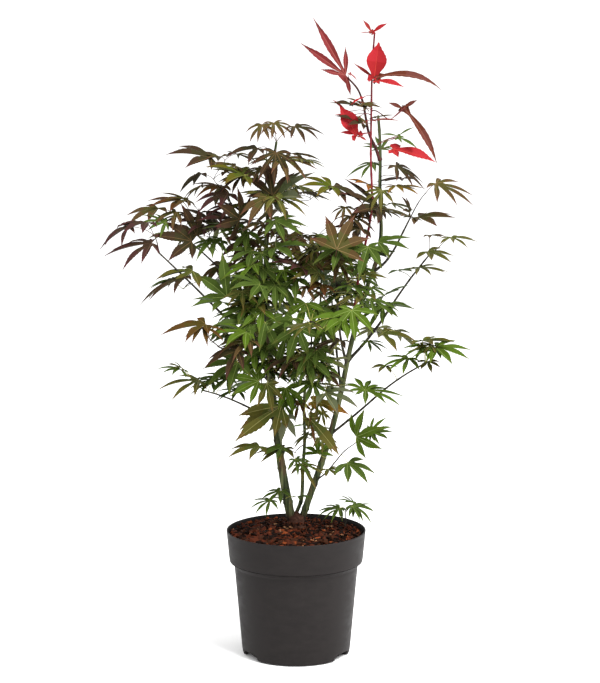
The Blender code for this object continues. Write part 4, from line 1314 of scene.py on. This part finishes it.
    def flat_places(self):
        """The points' places within one cell of the flat map, the underside beside the upper side."""
        angles = np.radians([self.form[lobe][0] for lobe in self.lobes])
        x = self.alongs * np.sin(angles) + self.acrosses * np.cos(angles)
        y = self.alongs * np.cos(angles) - self.acrosses * np.sin(angles)
        x, y = (base + size * part[self.pairs].mean(axis=1)
                for base, size, part in zip(LEAF_MAP_PLACE, LEAF_MAP_SIZE, (x, y)))
        return np.stack((x + LEAF_MAP_UNDERSIDE * self.unders, y), axis=-1)

    def bent(self, leaf, bend, cone, random):
        """The points of one leaf in space. Past the web its lobes bend towards the ground."""
        side = np.cross(leaf.middle, leaf.normal)
        marks = np.empty((len(self.lobes), 3))
        samples = np.linspace(0, 1, LOBE_SAMPLES)
        for lobe, (angle, size) in enumerate(self.form):
            angle = math.radians(angle + random.normal(0, LOBE_SWING))
            size_change = 1 + random.normal(0, LOBE_LENGTH_CHANGE)
            out = math.cos(angle) * leaf.middle + math.sin(angle) * side
            across = -math.sin(angle) * leaf.middle + math.cos(angle) * side
            tilt = math.radians(cone + random.normal(0, LOBE_TILT))
            start = math.cos(tilt) * out - math.sin(tilt) * leaf.normal
            fall = DOWN - start * DOWN.dot(start)
            past_web = np.clip((samples * size - self.sinus) / (size - self.sinus), 0, 1)
            turn = math.radians(bend * random.uniform(*LOBE_BEND_RANGE)) * np.linalg.norm(fall)
            turn = turn * past_web ** LOBE_BEND_POWER
            ways = np.cos(turn)[:, None] * start + np.sin(turn)[:, None] * unit(fall)
            steps = (ways[1:] + ways[:-1]) / 2 * np.diff(samples)[:, None] * size * size_change
            centres = np.vstack((np.zeros(3), np.cumsum(steps, axis=0)))
            acrosses = across - ways * (ways @ across)[:, None]
            acrosses /= np.linalg.norm(acrosses, axis=1)[:, None]
            ups = np.cross(acrosses, ways)
            mine = self.members[lobe]
            place = np.clip(self.alongs[mine] / size, 0, 1.02) * (LOBE_SAMPLES - 1)
            low = np.minimum(place.astype(int), LOBE_SAMPLES - 2)
            part = (place - low)[:, None]
            centre, sideways, above = (line[low] * (1 - part) + line[low + 1] * part
                                       for line in (centres, acrosses, ups))
            marks[mine] = (centre + sideways * self.acrosses[mine][:, None]
                           + above * self.heights[mine][:, None])
        return leaf.base + leaf.length * marks[self.pairs].mean(axis=1)


Spray = namedtuple("Spray", "mass node leaves")
Blade = namedtuple("Blade", "base middle normal length tint form")


def square_to(vector, way):
    return unit(vector - way * vector.dot(way))


def centre_of(blade):
    return blade.base + 0.5 * blade.length * blade.middle


def placed_sprays():
    """One spray for each leaf of the table. Its node is left open, as it hangs from the nearest wood."""
    sprays = []
    for mass, rows in LEAVES.items():
        for row in rows:
            leaf = Leaf(*row)
            swing, toward, face = (math.radians(angle) for angle in (leaf.swing, leaf.toward, leaf.face))
            base = np.array((leaf.x, leaf.y, leaf.z)) * MM
            middle = np.array((math.cos(toward) * math.cos(swing), -math.sin(toward),
                               math.cos(toward) * math.sin(swing)))
            normal = square_to(np.array((0.0, -math.sin(face), math.cos(face))), middle)
            blade = Blade(base, middle, normal, leaf.length * MM, leaf.tint, leaf.form)
            sprays.append(Spray(mass, None, [blade]))
    return sprays


def pair_at(node, heading, mass, random):
    """Two leaves that face each other across a node, on stalks that rise and blades that droop."""
    leaves = []
    tint = mass.tints[random.integers(len(mass.tints))]
    for way in (-1, 1):
        out = heading + way * random.uniform(*PAIR_ANGLES)
        stalk = heading_of(out, random.uniform(*PETIOLE_RISES)) * random.uniform(*PETIOLE_LENGTHS)
        middle = heading_of(out + random.normal(0, PAIR_SWING), random.uniform(*SEEDED_RISES))
        normal = square_to(UP + PAIR_OUTWARD * heading_of(out) + random.normal(0, PAIR_ROLL, 3), middle)
        length = random.uniform(*SEEDED_LENGTHS) * (SEEDED_RED_LENGTH if mass.kind == "red" else 1.0)
        forms = SEEDED_FORMS[mass.kind]
        leaves.append(Blade(node + stalk, middle, normal, length, tint, forms[random.integers(len(forms))]))
    return leaves


def gap_crossed(leaves):
    """How far these leaves reach into the gaps of sky, seen from the camera, in metres."""
    camera = np.array(CAMERA_PLACE)
    crossed = 0.0
    for leaf in leaves:
        centre = centre_of(leaf)
        share = camera[1] / (camera[1] - centre[1])
        place = (camera + share * (centre - camera))[[0, 2]]
        for x, z, radius in SKY_GAPS:
            distance = float(np.linalg.norm(place - np.array((x, z)) * MM))
            crossed += max(0.0, radius * MM + SKY_GAP_MARGIN * leaf.length - distance)
    return crossed


def overshoot(leaves, lowest, highest):
    """How far the tips of the middle and side lobes of these leaves reach out of a box, in metres."""
    worst = 0.0
    for leaf in leaves:
        side = SIDE_LOBE_REACH * np.cross(leaf.middle, leaf.normal)
        ahead = SIDE_LOBE_REACH * leaf.middle
        for way in (leaf.middle, ahead + side, ahead - side):
            tip = leaf.base + leaf.length * (way - LOBE_SINK * leaf.normal)
            worst += float(np.clip(lowest - tip, 0, None).sum() + np.clip(tip - highest, 0, None).sum())
    return worst


def seeded_sprays(placed, random):
    """The pairs of leaves that fill each mass behind and between the placed ones. Each pair is the best
    of several tries: inside the mass's box and away from the leaves that are there already."""
    sprays = []
    middles = [centre_of(leaf) for spray in placed for leaf in spray.leaves]
    for name, mass in MASSES.items():
        lowest, highest = (np.array(corner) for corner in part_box("leaves_" + name))
        if name.startswith("back"):
            lowest = np.minimum(lowest, (np.inf, BACK_START, lowest[2] - BACK_REACH))
            highest[2] += BACK_REACH
        centre, half = (lowest + highest) / 2, (highest - lowest) / 2
        lowest, highest = lowest - SEEDED_MARGIN, highest + SEEDED_MARGIN
        for _ in range(mass.more):
            best, best_score = None, -math.inf
            for _ in range(SEEDED_TRIES):
                node = centre + half * random.uniform(-PAIR_BOX_SHARE, PAIR_BOX_SHARE, 3)
                heading = mass.heading + random.uniform(-mass.spread, mass.spread)
                leaves = pair_at(node, heading, mass, random)
                score = -SEEDED_OVERSHOOT_COST * overshoot(leaves, lowest, highest)
                score -= SKY_GAP_COST * gap_crossed(leaves)
                for leaf in leaves:
                    apart = np.linalg.norm(np.array(middles) - centre_of(leaf), axis=1)
                    score += min(PAIR_ROOM, float(apart.min()))
                if score > best_score:
                    best, best_score = Spray(name, node, leaves), score
            middles += [centre_of(leaf) for leaf in best.leaves]
            sprays.append(best)
    return sprays


def grow_twig(wood, twigs, start, target, arrive, red):
    """A twig from the wood to a target. It leaves along the wood and arrives the way it is told."""
    origin = wood.points[start]
    gap = target - origin
    pull = float(np.linalg.norm(gap))
    leave = unit(TWIG_ALONG_WOOD * wood.ways[start] + unit(gap) + TWIG_LIFT * UP)
    steps = max(3, round(pull / TWIG_STEP))
    points = hermite(origin, leave * pull * TWIG_PULLS[0], target, arrive * pull * TWIG_PULLS[1], steps)
    wobble = np.sin(np.linspace(0, math.pi, steps + 1))[:, None] * TWIG_WOBBLE * pull
    east, north = TWIG_WOBBLE_TURNS
    points = points + wobble * np.array((math.sin(east * pull), math.cos(north * pull), TWIG_WOBBLE_RISE))
    thick = min(TWIG_RADII[0], TWIG_MOST_SHARE * wood.radii[start])
    radii = np.linspace(thick, min(thick, TWIG_RADII[1]), steps + 1)
    fine = smooth_curve(points, TWIG_RING_STEP)
    share = np.linspace(0, 1, len(fine))
    swell = 1
    for place, size, length in TWIG_KNOTS:
        swell = swell + size * np.exp(-((share - place) * pull / length) ** 2)
    fine_radii = np.interp(share, np.linspace(0, 1, steps + 1), radii) * swell
    add_tube(twigs["red" if red else "brown"], fine, fine_radii, TWIG_SIDES,
             "dark_red_skin" if red else "twig_skin")
    wood.add(points, radii, red, 1)
    return len(wood.points) - 1


def grow_stalk(stalks, origin, way, leaf, skin):
    """The curved stalk of one leaf, thicker where it meets the blade."""
    gap = leaf.base - origin
    pull = float(np.linalg.norm(gap))
    leave = unit(unit(gap) + PETIOLE_ALONG_WOOD * way + PETIOLE_LIFT * UP)
    arrive = unit(unit(gap) + PETIOLE_AHEAD * leaf.middle - PETIOLE_SINK * leaf.normal)
    end = leaf.base + PETIOLE_OVERLAP * leaf.middle
    points = hermite(origin, leave * pull, end, arrive * pull, PETIOLE_RINGS)
    share = np.linspace(0, 1, PETIOLE_RINGS + 1)
    flare = np.abs(2 * share - 2 * PETIOLE_WAIST) ** PETIOLE_FLARE
    radii = PETIOLE_RADII[0] + (PETIOLE_RADII[1] - PETIOLE_RADII[0]) * flare
    add_tube(stalks, points, radii, PETIOLE_SIDES, skin)


def stalk_skin(leaf, kind):
    if kind == "red":
        return "petiole_red"
    if kind == "green" or leaf.tint in ("lime", "grey"):
        return "petiole_lime"
    return "petiole_green" if leaf.tint in ("deep", "olive") else "petiole_brown"


def grow_leaves(wood, random):
    """Hangs every spray on the wood, nearest first, then joins the leaves by kind and side."""
    placed = placed_sprays()
    waiting = placed + seeded_sprays(placed, random)
    twigs = {"brown": Patchwork(), "red": Patchwork()}
    stalks = Patchwork()
    hung = []
    while waiting:
        woods = np.array(wood.points)
        ends = [spray.leaves[0].base if spray.node is None else spray.node for spray in waiting]
        gaps = [float(np.linalg.norm(woods - end, axis=1).min()) for end in ends]
        spray = waiting.pop(int(np.argmin(gaps)))
        kind = MASSES[spray.mass].kind
        red = kind == "red"
        hung += [(spray.mass, leaf) for leaf in spray.leaves]
        base = spray.leaves[0].base
        start = wood.nearest(base if spray.node is None else spray.node, red)
        origin = wood.points[start]
        if spray.node is None and np.linalg.norm(base - origin) > PETIOLE_REACH:
            way = unit(unit(base - origin) + TWIG_AHEAD * spray.leaves[0].middle + TWIG_END_LIFT * UP)
            target = base - way * random.uniform(*PETIOLE_LENGTHS)
            start = grow_twig(wood, twigs, start, target, way, red)
        elif spray.node is not None and np.linalg.norm(spray.node - origin) > TWIG_SHORTEST:
            way = unit(sum(leaf.base for leaf in spray.leaves) / len(spray.leaves) - spray.node
                       + PAIR_TWIG_LIFT * UP)
            start = grow_twig(wood, twigs, start, spray.node, way, red)
        for leaf in spray.leaves:
            grow_stalk(stalks, wood.points[start], wood.ways[start], leaf, stalk_skin(leaf, kind))
    make_leaf_pieces(hung, random)
    for name, patchwork in twigs.items():
        finish_piece(patchwork.make(name + "_twigs"), [])
    finish_piece(stalks.make("leaf_stalks"), [])


def make_leaf_pieces(hung, random):
    """Joins the leaves into one piece for each kind and side of the crown. The red leaves are one piece."""
    patterns = {name: LeafPattern(form) for name, form in FORMS.items()}
    places = {name: pattern.flat_places() for name, pattern in patterns.items()}
    groups = {}
    for mass_name, leaf in hung:
        kind = MASSES[mass_name].kind
        lowest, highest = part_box("leaves_" + mass_name)
        side = "" if kind == "red" else ("_left" if lowest.x + highest.x < 0 else "_right")
        groups.setdefault((kind, side), []).append((mass_name, leaf))
    for (kind, side), leaves in sorted(groups.items()):
        grid = math.ceil(math.sqrt(len(leaves)))
        patchwork = Patchwork()
        for number, (mass_name, leaf) in enumerate(leaves):
            pattern = patterns[leaf.form]
            droop = MASSES[mass_name].droop
            bend = droop * random.uniform(*FORMS[leaf.form].bends)
            cone = droop * random.uniform(*CONES)
            cell = np.array((number % grid, number // grid))
            patchwork.add(pattern.bent(leaf, bend, cone, random), pattern.corners, pattern.sizes,
                          [f"{leaf.tint}_{ZONES[zone]}" for zone in pattern.zones], pattern.rims,
                          (cell + places[leaf.form]) / grid)
        masses = sorted({mass_name for mass_name, _ in leaves})
        finish_piece(patchwork.make(f"{kind}_leaves{side}", mapped=True),
                     ["leaves_" + mass for mass in masses])


def make_stage():
    """A pale floor to the horizon, a white sky and two soft lamps."""
    floor_mesh = bpy.data.meshes.new("floor")
    corners = [(x * FLOOR_REACH, y * FLOOR_REACH, 0) for x, y in ((-1, -1), (1, -1), (1, 1), (-1, 1))]
    floor_mesh.from_pydata(corners, [], [(0, 1, 2, 3)])
    skin = Skin("pale_floor", FLOOR_COLOUR, 0.9, 0.1)
    skin.roughness(skin.noise(3, 2.0), 0.86, 0.94)
    floor_mesh.materials.append(materials["pale_floor"])
    floor = add_object("floor", floor_mesh)
    scene = bpy.context.scene
    scene.world = bpy.data.worlds.new("white_room")
    scene.world.use_nodes = True
    sky = scene.world.node_tree.nodes["Background"]
    sky.inputs["Color"].default_value = (1, 1, 1, 1)
    sky.inputs["Strength"].default_value = SKY_STRENGTH
    for name, place, size, power in LAMPS:
        lamp = bpy.data.lights.new(name, "AREA")
        lamp.energy = power
        lamp.size = size
        lamp_object = add_object(name, lamp)
        lamp_object.location = place
        aim = Vector(LAMP_AIM) - Vector(place)
        lamp_object.rotation_euler = aim.to_track_quat("-Z", "Y").to_euler()
    scene.view_settings.view_transform = "Standard"


def make_camera():
    camera = bpy.data.cameras.new("camera")
    camera.lens = CAMERA_LENS
    camera.sensor_width = CAMERA_SENSOR
    camera_object = add_object("camera", camera)
    camera_object.location = CAMERA_PLACE
    camera_object.rotation_euler = (math.radians(90 - CAMERA_DOWN), 0, 0)
    bpy.context.scene.camera = camera_object


def main():
    make_materials()
    make_pot()
    make_compost()
    make_chips(np.random.default_rng(SEED))
    make_stool()
    wood = Wood()
    make_limbs(wood, np.random.default_rng(SEED + 1))
    grow_leaves(wood, np.random.default_rng(SEED + 2))
    make_stage()
    make_camera()


main()
